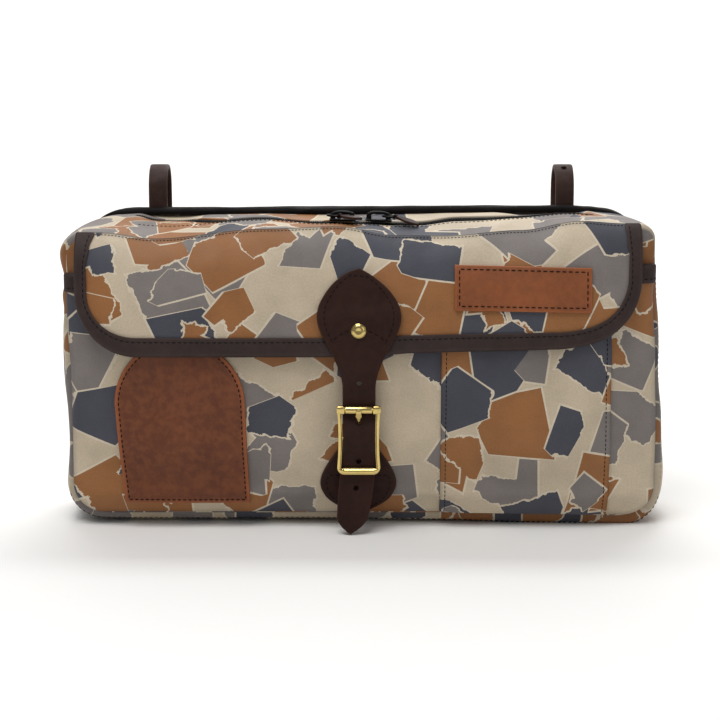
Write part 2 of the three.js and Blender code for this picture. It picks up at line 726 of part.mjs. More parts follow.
function makeClosureStrap() {
  const across = spread(4);
  const lengths = spread(12).map((share) => (STRAP_LEAVES - STRAP_START) * share ** 1.5);
  const onFlap = lengths.slice(0, -1).map((length) => {
    const half = along(STRAP_SHAPE, "run", "half", length);
    const run = STRAP_START + length;
    const cell = (x) => layer(flapSkin, x, run, strapLift(run), STRAP);
    return across.map((share) => cell(STRAP_X + lerp(-half, half, share)));
  });
  const leaves = STRAP_PATH.at(-1).z;
  const hanging = spread(23).slice(1).map((drop) => {
    const z = lerp(leaves, STRAP_TIP.z, drop);
    const half = along(STRAP_SHAPE, "run", "half", STRAP_LEAVES - STRAP_START + leaves - z);
    const y = along(STRAP_PATH, "z", "y", z, eased);
    return across.map((share) => {
      const x = strapMiddle(z) + lerp(-half, half, share);
      return { outer: new THREE.Vector3(x, y - STRAP / 2, z), inner: new THREE.Vector3(x, y + STRAP / 2, z) };
    });
  });
  const punch = (radius, z) => new THREE.CylinderGeometry(radius, radius, 4 * STRAP, 12)
    .translate(strapMiddle(z), along(STRAP_PATH, "z", "y", z, eased), z);
  const slot = new THREE.CylinderGeometry(1, 1, 8 * STRAP, 14)
    .scale(PRONG_SLOT.halfWidth, 1, PRONG_SLOT.halfLength)
    .translate(STRAP_X, along(STRAP_PATH, "z", "y", PRONG_SLOT.z, eased), PRONG_SLOT.z);
  return cut(wall([...onFlap, ...hanging]), slot, ...STRAP_HOLES.map((z) => punch(STRAP_HOLE_RADIUS, z)));
}

function makeClosureRivet() {
  const seat = raised(flapSkin, STRAP_X, RIVET.run, strapLift(RIVET.run) + STRAP + GAP);
  return standOn(dome(RIVET.radius, RIVET.height), seat, outward(flapSkin, STRAP_X, RIVET.run));
}

// Buckle frame: a waisted ring whose top bar is a pin for the roller, and a set-back centre bar
function waistedOutline(half, low, high, lowCorner, topCorner, waist) {
  const outline = new THREE.Shape();
  outline.moveTo(lowCorner - half, low).lineTo(half - lowCorner, low);
  outline.quadraticCurveTo(half, low, half, low + lowCorner);
  outline.quadraticCurveTo(half - waist, 0, half, high - topCorner);
  outline.quadraticCurveTo(half, high, half - topCorner, high).lineTo(topCorner - half, high);
  outline.quadraticCurveTo(-half, high, -half, high - topCorner);
  outline.quadraticCurveTo(waist - half, 0, -half, low + lowCorner);
  outline.quadraticCurveTo(-half, low, lowCorner - half, low);
  return outline;
}

function makeBuckleFrame() {
  const { half, high, low, waist, rail, barHeight, thickness, barRadius, rollerZ, rollerHalf } = BUCKLE;
  const ring = waistedOutline(half, low, high, BUCKLE.lowCorner, BUCKLE.topCorner, waist);
  const { innerLow, innerTop } = BUCKLE;
  ring.holes.push(
    waistedOutline(half - rail, low + barHeight, high - barHeight, innerLow, innerTop, waist / 2),
  );
  const chamfer = BUCKLE.chamfer;
  const body = new THREE.ExtrudeGeometry(ring, {
    depth: thickness - 2 * chamfer, bevelThickness: chamfer, bevelSize: chamfer, bevelOffset: -chamfer,
    bevelSegments: 1, curveSegments: 4,
  });
  body.rotateX(Math.PI / 2).translate(0, thickness / 2 - chamfer, 0);
  const rollerRoom = new THREE.BoxGeometry(2 * rollerHalf + 2 * GAP, 3 * thickness, 2 * barHeight);
  rollerRoom.translate(0, 0, rollerZ);
  const pin = crossBar(BUCKLE.pinRadius, rollerHalf + 2).translate(0, 0, rollerZ);
  const setBack = BUCKLE.barY - BUCKLE.y;
  const lugX = half - (waist + BUCKLE.lugWidth) / 2 - BUCKLE.lugSunk;
  const bar = crossBar(barRadius, lugX).translate(0, setBack, 0);
  const lugDepth = setBack + barRadius;
  const lugs = [-1, 1].map((sign) => new THREE.BoxGeometry(BUCKLE.lugWidth, lugDepth, BUCKLE.lugHeight)
    .translate(sign * lugX, lugDepth / 2, 0));
  return join(cut(body, rollerRoom), pin, bar, ...lugs).translate(BUCKLE.x, BUCKLE.y, BUCKLE.barZ);
}

function makeBuckleRoller() {
  const roller = crossRing(BUCKLE.rollerRadius, BUCKLE.rollerBore, BUCKLE.rollerHalf, 18);
  return roller.translate(BUCKLE.x, BUCKLE.y, BUCKLE.barZ + BUCKLE.rollerZ);
}

function makeBuckleProng() {
  const path = new THREE.CatmullRomCurve3(PRONG_PATH.map(({ y, z }) => new THREE.Vector3(BUCKLE.x, y, z)));
  const section = new THREE.Shape().absarc(0, 0, PRONG.radius, 0, 2 * Math.PI);
  const shaft = new THREE.ExtrudeGeometry(section, { extrudePath: path, steps: 8, curveSegments: 4 });
  const eye = crossRing(PRONG.eyeRadius, PRONG.eyeBore, PRONG.eyeHalf);
  return join(shaft, eye.translate(BUCKLE.x, BUCKLE.barY, BUCKLE.barZ));
}

// Leather base of the buckle: a lobed plate on the pocket with a sleeve round the centre bar
function makeBuckleChape() {
  const plate = wall(CHAPE_SHAPE.map(({ z, half }) => spread(6).map((across) => (
    layer(pocketSkin, CHAPE_X + lerp(-half, half, across), z, GAP, PATCH)
  ))));
  const { outer, inner, half, slotHalf, slotBack } = CHAPE_SLEEVE;
  const sleeve = crossRing(outer, inner, half, 12).translate(BUCKLE.x, BUCKLE.barY, BUCKLE.barZ);
  const bore = crossBar(inner, half + PATCH).translate(BUCKLE.x, BUCKLE.barY, BUCKLE.barZ);
  const slot = new THREE.BoxGeometry(2 * slotHalf, 3 * outer, 3 * outer);
  slot.translate(BUCKLE.x, slotBack - 1.5 * outer, BUCKLE.barZ);
  return cut(join(plate, sleeve), bore, slot);
}

// Ridge along the back top edge, running a little way round both upper corners
function makeBackBinding() {
  const straightRun = spread(20).map((share) => {
    const x = lerp(-BACK_BINDING.half, BACK_BINDING.half, share);
    return { x, z: backTop(x), out: new THREE.Vector2(0, 1), share: 1 };
  });
  const corner = (sign) => spread(4).slice(1).map((share) => {
    const angle = degToRad(BACK_BINDING.cornerSweep * share);
    const out = new THREE.Vector2(sign * Math.sin(angle), Math.cos(angle));
    const centreX = sign * (HALF_WIDTH - BACK_CORNER);
    const centreZ = backTop(sign * HALF_WIDTH) - BACK_CORNER;
    const fade = lerp(1, BACK_BINDING.endShare, share);
    return { x: centreX + BACK_CORNER * out.x, z: centreZ + BACK_CORNER * out.y, out, share: fade };
  });
  const path = [...corner(-1).reverse(), ...straightRun, ...corner(1)];
  return sweep(path.map(({ x, z, out, share }) => BACK_BINDING_SECTION.map(({ y, lift }) => {
    const ridge = lift > GAP ? GAP + (lift - GAP) * share : lift;
    const rest = ridge > 0 ? ridge + crownAt(y) : ridge;
    return new THREE.Vector3(x + out.x * rest, DEPTH / 2 + y, z + out.y * rest);
  })));
}

// The most that the top or a corner stands above its back edge, a little way forward of it
function crownAt(y) {
  const share = 1 + Math.min(y, 0) / DEPTH;
  return 4 * RIDGE_CROWN * share * (1 - share);
}

// Thwart loop: a strap up the back, over in a round arch, down and onto its own lower end
function makeThwartStrap({ x, punched }) {
  const middle = THWART.seatY + THWART_STRAP / 2;
  const rise = spread(6).map((share) => ({ y: middle, z: lerp(THWART.low, THWART.archZ, share) }));
  const arch = spread(10).slice(1).map((share) => ({
    y: middle + THWART.archRadius * (1 - Math.cos(share * Math.PI)),
    z: THWART.archZ + THWART.archRadius * Math.sin(share * Math.PI),
  }));
  const points = [...rise, ...arch, ...THWART_REAR].map(({ y, z }) => new THREE.Vector3(x, y, z));
  const path = new THREE.CatmullRomCurve3(points, false, "centripetal");
  const rings = spread(40).map((share) => {
    const at = path.getPointAt(share);
    const tangent = path.getTangentAt(share);
    const up = new THREE.Vector3(0, -tangent.z, tangent.y).multiplyScalar(THWART_STRAP / 2);
    const across = new THREE.Vector3(THWART.halfWidth, 0, 0);
    const corners = [[-1, -1], [1, -1], [1, 1], [-1, 1]];
    return corners.map(([side, face]) => at.clone().addScaledVector(across, side).addScaledVector(up, face));
  });
  const strap = sweep(rings);
  if (!punched) return strap;
  const lean = degToRad(THWART.holeAt);
  const hole = new THREE.CylinderGeometry(THWART.holeRadius, THWART.holeRadius, 4 * THWART_STRAP, 12);
  const radius = THWART.archRadius;
  const holeY = middle + radius * (1 - Math.cos(lean));
  hole.rotateX(-lean).translate(x, holeY, THWART.archZ + radius * Math.sin(lean));
  return cut(strap, hole);
}

place("back_panel", "canvas", makePanel(1, backTop, BACK_CORNER, 0, BACK_BULGE));
place("front_panel", "canvas", makePanel(-1, frontTop, FRONT_CORNER, FRONT_TUCK, 0));
place("gusset", "canvas", makeGusset());
place("top_band_front", "canvas", makeTopBand(-1));
place("top_band_back", "canvas", makeTopBand(1));
place("zip_tape", "zipTape", makeZipTape());
place("zip_coil", "zipTape", makeZipCoil());
for (const { name, x, foot, turn, droop } of SLIDERS) {
  const footX = foot * (CROWN.half - CROWN.leg / 2);
  const [rear, front] = [-1, 1].map((end) => topSkin(x + end * SLIDER_PLATE.length, 0.5));
  const lean = Math.atan2(front.z - rear.z, front.x - rear.x);
  const seat = Math.max(topSkin(x, 0.5).z, (front.z + rear.z) / 2) + ZIP_COIL[3].lift + GAP;
  const lay = (geometry) => geometry.rotateY(-lean).translate(x, 0, seat);
  const swing = (geometry) => geometry.rotateZ(degToRad(turn)).translate(footX, 0, 0);
  place(`zip_slider_${name}`, "blackMetal", lay(makeSlider()));
  place(`zip_link_${name}`, "blackMetal", lay(swing(makeLink())));
  place(`zip_pull_${name}`, "darkLeather", lay(swing(makePull(droop))));
}
place("front_pocket", "canvas", makePocket());
place("pocket_binding", "darkLeather", makePocketBinding());
place("slip_pocket", "canvas", makeSlipPocket());
place("flap", "canvas", makeFlap());
place("flap_binding", "darkLeather", makeFlapBinding());
place("back_binding", "darkLeather", makeBackBinding());
place("closure_strap", "darkLeather", makeClosureStrap());
place("closure_rivet", "brass", makeClosureRivet());
place("buckle_frame", "brass", makeBuckleFrame());
place("buckle_roller", "brass", makeBuckleRoller());
place("buckle_prong", "brass", makeBuckleProng());
place("buckle_chape", "darkLeather", makeBuckleChape());
place("arch_patch", "chestnutLeather", makeArchPatch());
place("flap_patch", "chestnutLeather", makeFlapPatch());
for (const loop of THWART_LOOPS) {
  const rearwards = new THREE.Vector3(0, 1, 0);
  const rivetY = THWART.seatY + THWART_STRAP + GAP;
  const studY = rivetY + THWART_STRAP + GAP;
  place(`thwart_strap_${loop.name}`, "darkLeather", makeThwartStrap(loop));
  place(`thwart_rivet_${loop.name}`, "brass", standOn(
    dome(STUD.radius, STUD.height), new THREE.Vector3(loop.x, rivetY, THWART.rivetZ), rearwards,
  ));
  place(`thwart_stud_${loop.name}`, "brass", standOn(
    dome(STUD.radius, STUD.height), new THREE.Vector3(loop.x, studY, THWART.studZ), rearwards,
  ));
}

export default bag;
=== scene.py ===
import math

import bpy
import numpy as np
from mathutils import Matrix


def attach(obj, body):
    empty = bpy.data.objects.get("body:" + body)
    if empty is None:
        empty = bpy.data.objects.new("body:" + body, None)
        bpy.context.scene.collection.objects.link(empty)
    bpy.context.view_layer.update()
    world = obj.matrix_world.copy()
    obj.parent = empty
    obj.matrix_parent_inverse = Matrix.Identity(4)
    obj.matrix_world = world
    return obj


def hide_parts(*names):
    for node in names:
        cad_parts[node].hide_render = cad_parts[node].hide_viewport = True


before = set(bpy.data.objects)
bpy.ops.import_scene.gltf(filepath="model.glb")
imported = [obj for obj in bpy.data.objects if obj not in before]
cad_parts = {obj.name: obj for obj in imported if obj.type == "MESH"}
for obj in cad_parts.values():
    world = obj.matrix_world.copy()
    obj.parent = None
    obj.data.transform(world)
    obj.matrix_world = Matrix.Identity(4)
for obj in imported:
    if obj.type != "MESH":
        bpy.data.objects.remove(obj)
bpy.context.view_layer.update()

mm = 0.001               # shapes are worked out in millimetres and stored in metres
print("frame loaded:", len(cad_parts), "nodes")


def addObject(name, data):             # an object for some data, linked into the scene
    made = bpy.data.objects.new(name, data)
    bpy.context.scene.collection.objects.link(made)
    return made


# Camera at the photograph's angle: a little above the bag's middle, looking slightly down
view = {"elevation": 10, "distance": 1150, "target": (-1.9, -35, 108.5), "lens": 89.8, "sensor": 36}


def makeCamera():                      # the target plus the distance along the tilted line of sight
    data = bpy.data.cameras.new("photoCamera")
    data.lens, data.sensor_width = view["lens"], view["sensor"]
    camera = addObject("photoCamera", data)
    tilt = math.radians(view["elevation"])
    away = view["distance"] * np.array([0, -math.cos(tilt), math.sin(tilt)])
    camera.location = (np.array(view["target"]) + away) * mm
    camera.rotation_euler = (math.pi / 2 - tilt, 0, 0)
    bpy.context.scene.camera = camera


makeCamera()


# Small maths on whole arrays
def ease(share):                       # smooth rise from 0 to 1
    share = np.clip(share, 0, 1)
    return share * share * (3 - 2 * share)


def ramp(value, low, high):            # eased rise between two places
    return ease((np.asarray(value, float) - low) / (high - low))


def near(distance, reach):             # 1 at a line, falling evenly to 0 at the reach
    return np.clip(1 - distance / reach, 0, 1)


def bell(distance, width):             # 1 at a line, falling off as a bell
    return np.exp(-(distance / width) ** 2)


def mix(first, second, share):         # a share of the way between two values
    return first + (second - first) * share


def rowAt(table, at):                  # the row of (place, value) before each place, and the share past it
    places, values = np.array(table, float).T
    at = np.clip(np.asarray(at, float), places[0], places[-1])
    row = np.clip(np.searchsorted(places, at, side="right") - 1, 0, len(places) - 2)
    return places, values, row, (at - places[row]) / (places[row + 1] - places[row])


def eased(table, at):                  # eased value between the rows of a table
    _, values, row, share = rowAt(table, at)
    return mix(values[row], values[row + 1], ease(share))


def flowing(table, at):                # one smooth curve through the rows of a table, by cubic pieces
    places, values, row, share = rowAt(table, at)
    slopes = np.gradient(values, places)
    step = places[row + 1] - places[row]
    cube, square = share ** 3, share ** 2
    return (
        (2 * cube - 3 * square + 1) * values[row] + (cube - 2 * square + share) * step * slopes[row]
        + (3 * square - 2 * cube) * values[row + 1] + (cube - square) * step * slopes[row + 1]
    )


uneven = {             # height, wavelength and seed of each piece's soft unevenness
    "top": (0.5, 46, 5), "flap": (0.9, 85, 11), "pocket": (0.8, 70, 23), "gusset": (0.9, 42, 31),
    "back": (0.5, 90, 41), "ridge": (0.25, 30, 51),
}


def swell(u, v, piece, waves=9, spread=(0.7, 1.5), calm=1.4):  # a seeded sum of sines in many directions
    height, wavelength, seed = uneven[piece]
    draw = np.random.default_rng(seed)
    turn, phase = draw.uniform(0, 2 * np.pi, (2, waves))
    scale = 2 * np.pi / (wavelength * draw.uniform(*spread, waves))
    u, v = np.broadcast_arrays(np.asarray(u, float), np.asarray(v, float))
    angle = (u[..., None] * np.cos(turn) + v[..., None] * np.sin(turn)) * scale + phase
    return height * np.sin(angle).sum(-1) / math.sqrt(waves) / calm


def point(*values):                    # coordinates as an array of points
    return np.stack(np.broadcast_arrays(*(np.asarray(value, float) for value in values)), -1)


def unit(vectors):                     # vectors scaled to a length of 1
    return vectors / np.maximum(np.linalg.norm(vectors, axis=-1, keepdims=True), 1e-9)


def crowded(count):                    # shares from -1 to 1 that crowd towards both ends
    return np.sin(np.linspace(-0.5, 0.5, count) * np.pi)


def crowdedShare(count):               # the same from 0 to 1
    return (crowded(count) + 1) / 2


def around(count):                     # even angles round a whole turn
    return np.linspace(0, 2 * np.pi, count, endpoint=False)


def distances(points):                 # how far along a row of points each one lies
    return np.concatenate([[0], np.cumsum(np.linalg.norm(np.diff(points, axis=0), axis=1))])


def through(knots, count):             # a smooth run of points through a few knots
    knots = np.array(knots, float)
    far = distances(knots)
    at = np.linspace(0, far[-1], count)
    return np.stack([flowing(point(far, column), at) for column in knots.T], -1)


def evenly(points, count):             # a polyline resampled at even spacing
    far = distances(points)
    at = np.linspace(0, far[-1], count)
    return np.stack([np.interp(at, far, column) for column in points.T], -1)


def facing(skin, a, b, step=0.25):     # outward direction of a surface of two parameters, towards the front
    normal = unit(np.cross(skin(a + step, b) - skin(a - step, b), skin(a, b + step) - skin(a, b - step)))
    return np.where(normal[..., 1:2] > 0, -normal, normal)


def raised(skin, a, b, lift):          # a point of the surface moved out along its normal
    return skin(a, b) + facing(skin, a, b) * np.asarray(lift, float)[..., None]


# Shaders: a wire is one socket, and arithmetic on it adds Math nodes
def mathNode(operation, reflected=False):  # an operator that adds one Math node
    def method(self, other):
        first, second = (other, self) if reflected else (self, other)
        return self.look.node("ShaderNodeMath", {"operation": operation}, {0: first, 1: second})

    return method


class Wire:                            # one output socket of a look's nodes
    __add__, __radd__ = mathNode("ADD"), mathNode("ADD", True)
    __sub__, __rsub__ = mathNode("SUBTRACT"), mathNode("SUBTRACT", True)
    __mul__, __rmul__ = mathNode("MULTIPLY"), mathNode("MULTIPLY", True)
    __gt__, __lt__ = mathNode("GREATER_THAN"), mathNode("LESS_THAN")
    least, most = mathNode("MINIMUM"), mathNode("MAXIMUM")

    def __init__(self, look, socket):
        self.look, self.socket = look, socket


class Look:                            # a material and the nodes that feed its shader
    def __init__(self, name):
        self.material = bpy.data.materials.new(name)
        self.material.use_nodes = True
        self.tree = self.material.node_tree
        self.shader = self.tree.nodes["Principled BSDF"]

    def node(self, kind, settings=None, sockets=None, out=0):      # any node: type, settings, socket values
        made = self.tree.nodes.new(kind)
        for key, value in (settings or {}).items():
            setattr(made, key, value)
        for key, value in (sockets or {}).items():
            self.feed(made.inputs[key], value)
        return Wire(self, made.outputs[out])

    def feed(self, socket, value):                                 # a link from a wire, or a fixed value
        if isinstance(value, Wire):
            self.tree.links.new(value.socket, socket)
        else:
            socket.default_value = value

    def colour(self, factor, first, second, kind="MIX"):           # colours go through Mix
        return self.node("ShaderNodeMix", {"data_type": "RGBA", "blend_type": kind},
                         {0: factor, 6: first, 7: second}, 2)

    def toned(self, shade, tone):                                  # a colour times a number
        grey = self.node("ShaderNodeCombineColor", sockets={0: tone, 1: tone, 2: tone})
        return self.colour(1.0, shade, grey, "MULTIPLY")

    def parts(self, value, kind="ShaderNodeSeparateColor"):        # the three numbers of a colour or vector
        first = self.node(kind, sockets={0: value})
        return [Wire(self, socket) for socket in first.socket.node.outputs[:3]]

    def vector(self, operation, first, second):                    # vectors go through Vector Math
        return self.node("ShaderNodeVectorMath", {"operation": operation}, {0: first, 1: second})

    def range(self, value, low, high, toLow=0.0, toHigh=1.0):      # eased change of range
        return self.node("ShaderNodeMapRange", {"interpolation_type": "SMOOTHSTEP"}, {
            "Value": value, "From Min": low, "From Max": high, "To Min": toLow, "To Max": toHigh})

    def place(self):                                               # the piece's own place, in metres
        return self.node("ShaderNodeTexCoord", out="Object")

    def noise(self, vector, scale, detail=2.0, rough=0.5):         # soft clouds of a given fineness
        return self.node("ShaderNodeTexNoise", sockets={
            "Vector": vector, "Scale": scale, "Detail": detail, "Roughness": rough})

    def cells(self, feature, flat, vector, scale, random, out):    # the cells of a Voronoi pattern
        settings = {"voronoi_dimensions": "2D" if flat else "3D", "feature": feature}
        sockets = {"Vector": vector, "Scale": scale, "Randomness": random}
        return self.node("ShaderNodeTexVoronoi", settings, sockets, out)

    def edge(self):                                                # 1 at a cut edge, 0 inside; on leather it gives pale wear and a painted crest highlight, on canvas painted shade
        return self.node("ShaderNodeAttribute", {"attribute_name": "edge"}, out="Fac")

    def bump(self, height, strength, distance, under=None):        # a normal from a height, over another
        sockets = {"Height": height, "Strength": strength, "Distance": distance}
        if under:
            sockets["Normal"] = under
        return self.node("ShaderNodeBump", sockets=sockets)

    def surface(self, shade, rough, **sockets):                    # feeds the shader and gives the material
        values = {"Base Color": shade, "Roughness": rough, **sockets}
        for key, value in values.items():
            self.feed(self.shader.inputs[key.replace("Specular", "Specular IOR Level")], value)
        return self.material


def paint(colour, share=1.0):          # a share of a colour as seen on screen, 0 to 255, made linear
    seen = np.array(colour) / 255
    linear = np.where(seen <= 0.04045, seen / 12.92, ((seen + 0.055) / 1.055) ** 2.4)
    return (*(linear * share).tolist(), 1.0)


# Printed waxed canvas: layers of torn shards over cream, each shard edged with a pale line
camo = {
    "cream": (187, 172, 149), "line": (200, 187, 166), "lineWidth": 0.0013, "thread": 0.0011,
    "inks": [(0.37, (141, 94, 54)), (0.63, (66, 67, 76)), (1.0, (118, 111, 108))],      # chance up to, colour
    "layers": [        # size in metres, share of the shards printed, turn and shift of the layer
        {"size": 0.050, "share": 0.86, "turn": 0.35, "at": (3.1, 7.3)},
        {"size": 0.044, "share": 0.66, "turn": 1.15, "at": (9.7, 2.4)},
        {"size": 0.030, "share": 0.34, "turn": 2.2, "at": (5.2, 11.9)},
    ],
    "half": (0.27, 0.26), "slant": 0.9, "notch": (0.7, 0.1), "space": 0.012,      # in shares of a shard
    "random": 0.85, "spin": 6.28, "tear": (0.011, 0.009), "seeds": (0.0, 7.3, 13.7), "ragShift": (3, 1, 0),
    "rag": (105, 130), "wavyLine": 45, "cloud": 30, "speck": 900, "crease": 55, "gloss": 40,  # noise scales
    "cloudTone": (0.25, 0.75, 0.86, 1.07), "speckTone": (0.3, 0.7, 0.94, 1.05),   # noise from, to, and tones
    # this line also holds the strength of the painted shade along the cloth's seams, after the sheen
    "sheen": (0.3, 0.7, 0.5, 0.66), "paintedSeamShade": 0.25, "shine": 0.3,
    "creaseBump": (0.35, 0.0014), "weaveBump": (0.22, 0.00012),      # strength, and height in metres
}


def shards(look, cloth, rag, layer):
    # how far in from the edge of its shard each place is, and the chance that picks the shard's ink
    size = layer["size"]
    laid = look.node("ShaderNodeMapping", sockets={
        "Vector": cloth, "Location": (*layer["at"], 0), "Rotation": (0, 0, layer["turn"]),
        "Scale": (1 / size, 1 / size, 1)})
    centre = look.cells("F1", True, laid, 1.0, camo["random"], "Position")
    border = look.cells("DISTANCE_TO_EDGE", True, laid, 1.0, camo["random"], "Distance")

    def draws(seed):                   # three random shares of the shard
        shifted = look.vector("ADD", centre, (seed, 0, 0))
        drawn = look.node("ShaderNodeTexWhiteNoise", {"noise_dimensions": "2D"}, {0: shifted}, "Color")
        return look.parts(drawn)

    (turn, chance, ink), (wide, tall, lean), (slant, cutU, cutV) = (draws(seed) for seed in camo["seeds"])
    away = look.vector("SUBTRACT", laid, centre)
    spun = look.node("ShaderNodeVectorRotate", {"rotation_type": "Z_AXIS"},
                     {"Vector": away, "Angle": turn * camo["spin"]})
    u, v, _ = look.parts(spun, "ShaderNodeSeparateXYZ")
    wide, tall = (camo["half"][0] + value * camo["half"][1] for value in (wide, tall))
    lean, slant = ((value - 0.5) * camo["slant"] for value in (lean, slant))
    tornU, tornV = ((value - 0.5) * (tear / size) for value, tear in zip(rag, camo["tear"]))
    cutU, cutV = (value * camo["notch"][0] - camo["notch"][1] for value in (cutU, cutV))
    inside = (wide - u - v * lean).least(wide + u + v * slant + tornU)
    inside = inside.least(tall - v + u * slant + tornV).least(tall + v - u * lean)
    inside = inside.least((cutU - u + tornV).most(cutV - v)).least(border - camo["space"])
    return (inside - (chance > layer["share"])) * size, ink


def camoCanvas(name):                  # shards over cream, times clouds, specks and painted shade along seams, with weave on creases
    look = Look(name)
    cloth = look.node("ShaderNodeUVMap", {"uv_map": "pattern"})
    other = look.vector("ADD", cloth, camo["ragShift"])
    rag = [look.noise(where, scale, 3, 0.55) for where, scale in zip((cloth, other), camo["rag"])]
    line = (look.noise(cloth, camo["wavyLine"]) + 0.5) * -camo["lineWidth"]
    shade = paint(camo["cream"])
    for layer in camo["layers"]:
        inside, chance = shards(look, cloth, rag, layer)
        ink = paint(camo["inks"][-1][1])
        for limit, colour in camo["inks"][-2::-1]:
            ink = look.colour(chance < limit, ink, paint(colour))
        shade = look.colour(inside > line, shade, paint(camo["line"]))
        shade = look.colour(inside > 0.0, shade, ink)
    cloudy = look.range(look.noise(cloth, camo["cloud"], 4, 0.6), *camo["cloudTone"])
    speck = look.range(look.noise(cloth, camo["speck"]), *camo["speckTone"])
    # painted shade: the cloth is darker where its edge values mark seams, folds and cut edges
    shade = look.toned(shade, cloudy * speck * (1 - look.edge() * camo["paintedSeamShade"]))
    along, over = (
        look.node("ShaderNodeMath", {"operation": "SINE"}, {0: axis * (2 * math.pi / camo["thread"])})
        for axis in look.parts(cloth, "ShaderNodeSeparateXYZ")[:2])
    creased = look.bump(look.noise(cloth, camo["crease"], 5, 0.6), *camo["creaseBump"])
    rough = look.range(look.noise(cloth, camo["gloss"], 3), *camo["sheen"])
    normal = look.bump(along * over, *camo["weaveBump"], creased)
    return look.surface(shade, rough, Normal=normal, Specular=camo["shine"])


# Leather: pebbled grain, soft clouds of colour, and paler cut edges
hide = {
    "dark": 0.78, "streaked": 0.22, "edge": 0.6, "pebble": 0.22, "random": 0.9, "rougher": 0.16,
    "clouds": (0.3, 0.72), "streaks": (0.35, 0.7), "sheen": (0.3, 0.7),      # where each noise turns
    "creaseBump": (0.35, 0.0006), "pebbleBump": (0.25, 0.0002),      # strength, and height in metres
    "cloud": 38, "streak": 190, "crease": 120, "gloss": 85,      # noise scales
}


def leather(name, colour, worn, grain, gloss, shine=0.25):  # two tones by clouds, streaked and edged
    look = Look(name)
    place = look.place()
    clouds = look.range(look.noise(place, hide["cloud"], 5, 0.6), *hide["clouds"])
    streaks = look.range(look.noise(place, hide["streak"], 3, 0.6), *hide["streaks"])
    shade = look.colour(clouds, paint(colour, hide["dark"]), paint(colour))
    shade = look.colour(streaks * hide["streaked"], shade, paint(worn))
    # paler where the edge values are set: worn cut edges, and on the back ridge also a painted highlight
    # along its crest
    shade = look.colour(look.edge() * hide["edge"], shade, paint(worn))
    pores = look.cells("DISTANCE_TO_EDGE", False, place, grain, hide["random"], "Distance")
    pebble = look.range(pores, 0.0, hide["pebble"])
    creases = look.bump(look.noise(place, hide["crease"], 5, 0.65), *hide["creaseBump"])
    rough = look.range(look.noise(place, hide["gloss"], 3), *hide["sheen"], gloss, gloss + hide["rougher"])
    normal = look.bump(pebble, *hide["pebbleBump"], creases)
    return look.surface(shade, rough, Normal=normal, Specular=shine)


# Polished metal: faint clouding and hairline scratches
polish = {"scratch": 900, "stretch": (9, 1, 1), "cloud": 160, "clouded": 0.86, "rougher": 0.12,
          "turns": (0.3, 0.7), "bump": (0.08, 0.00008)}


def metal(name, colour, gloss, metallic, shine=0.5):  # a tone times clouds, roughened by scratches
    look = Look(name)
    place = look.place()
    scratch = look.noise(look.vector("MULTIPLY", place, polish["stretch"]), polish["scratch"], 3, 0.7)
    cloud = look.range(look.noise(place, polish["cloud"], 3), *polish["turns"], polish["clouded"], 1.0)
    rough = look.range(scratch, *polish["turns"], gloss, gloss + polish["rougher"])
    return look.surface(look.toned(paint(colour), cloud), rough, Metallic=metallic,
                        Normal=look.bump(scratch, *polish["bump"]), Specular=shine)


# Woven zip tape and thread: fine ribs
weave = {"shaded": 0.7, "fuzz": 700, "rougher": 0.15, "turns": (0.3, 0.7), "bump": (0.3, 0.0002),
         "shine": 0.1}


def woven(name, colour, ribs, gloss):  # two tones mixed by diagonal ribs
    look = Look(name)
    place = look.place()
    ribbed = look.node("ShaderNodeTexWave", {"wave_type": "BANDS", "bands_direction": "DIAGONAL"}, {
        "Vector": place, "Scale": ribs, "Distortion": 1.0, "Detail": 1.0}, 1)
    shade = look.colour(ribbed, paint(np.array(colour) * weave["shaded"]), paint(colour))
    fuzz = look.noise(place, weave["fuzz"])
    rough = look.range(fuzz, *weave["turns"], gloss, min(gloss + weave["rougher"], 1))
    return look.surface(shade, rough, Normal=look.bump(ribbed, *weave["bump"]), Specular=weave["shine"])


looks = {              # each finish and the record's slot that it belongs to
    "canvas": (camoCanvas("printedCanvas"), "camo_canvas"),
    "strapLeather": (leather("strapLeather", (45, 26, 21), (62, 38, 30), 900, 0.46, 0.12), "dark_leather"),
    "bindingLeather": (leather("bindingLeather", (53, 42, 40), (68, 55, 52), 800, 0.5, 0.16), "dark_leather"),
    "ridgeLeather": (leather("ridgeLeather", (10, 6, 5), (26, 19, 17), 800, 0.46, 0.08), "dark_leather"),
    "loopLeather": (leather("loopLeather", (54, 37, 33), (80, 60, 52), 800, 0.46, 0.14), "dark_leather"),
    "archLeather": (leather("archLeather", (101, 56, 35), (158, 90, 52), 1000, 0.42), "chestnut_leather"),
    "patchLeather": (leather("patchLeather", (132, 75, 43), (160, 92, 52), 1000, 0.42), "chestnut_leather"),
    "brass": (metal("polishedBrass", (216, 191, 122), 0.1, 1.0), "brass"),
    "blackMetal": (metal("blackMetal", (8, 7, 7), 0.42, 0.0, 0.16), "black_metal"),
    "zipTape": (woven("zipTape", (20, 19, 20), 260, 0.8), "zip_tape"),
    "zipCoil": (woven("zipCoil", (14, 14, 15), 400, 0.6), "zip_tape"),
    "darkThread": (woven("darkThread", (17, 13, 12), 500, 0.7), "dark_leather"),
    "brownThread": (woven("brownThread", (26, 15, 11), 500, 0.7), "dark_leather"),
    "paleThread": (woven("paleThread", (196, 186, 164), 500, 0.7), "camo_canvas"),
}
print("materials made:", len(looks))


# Meshes: a solid is its points, its faces of four corners and its end caps
def quadsOf(index):                    # faces between the rows and columns of a grid of point numbers
    return np.stack([index[:-1, :-1], index[:-1, 1:], index[1:, 1:], index[1:, :-1]], -1).reshape(-1, 4)


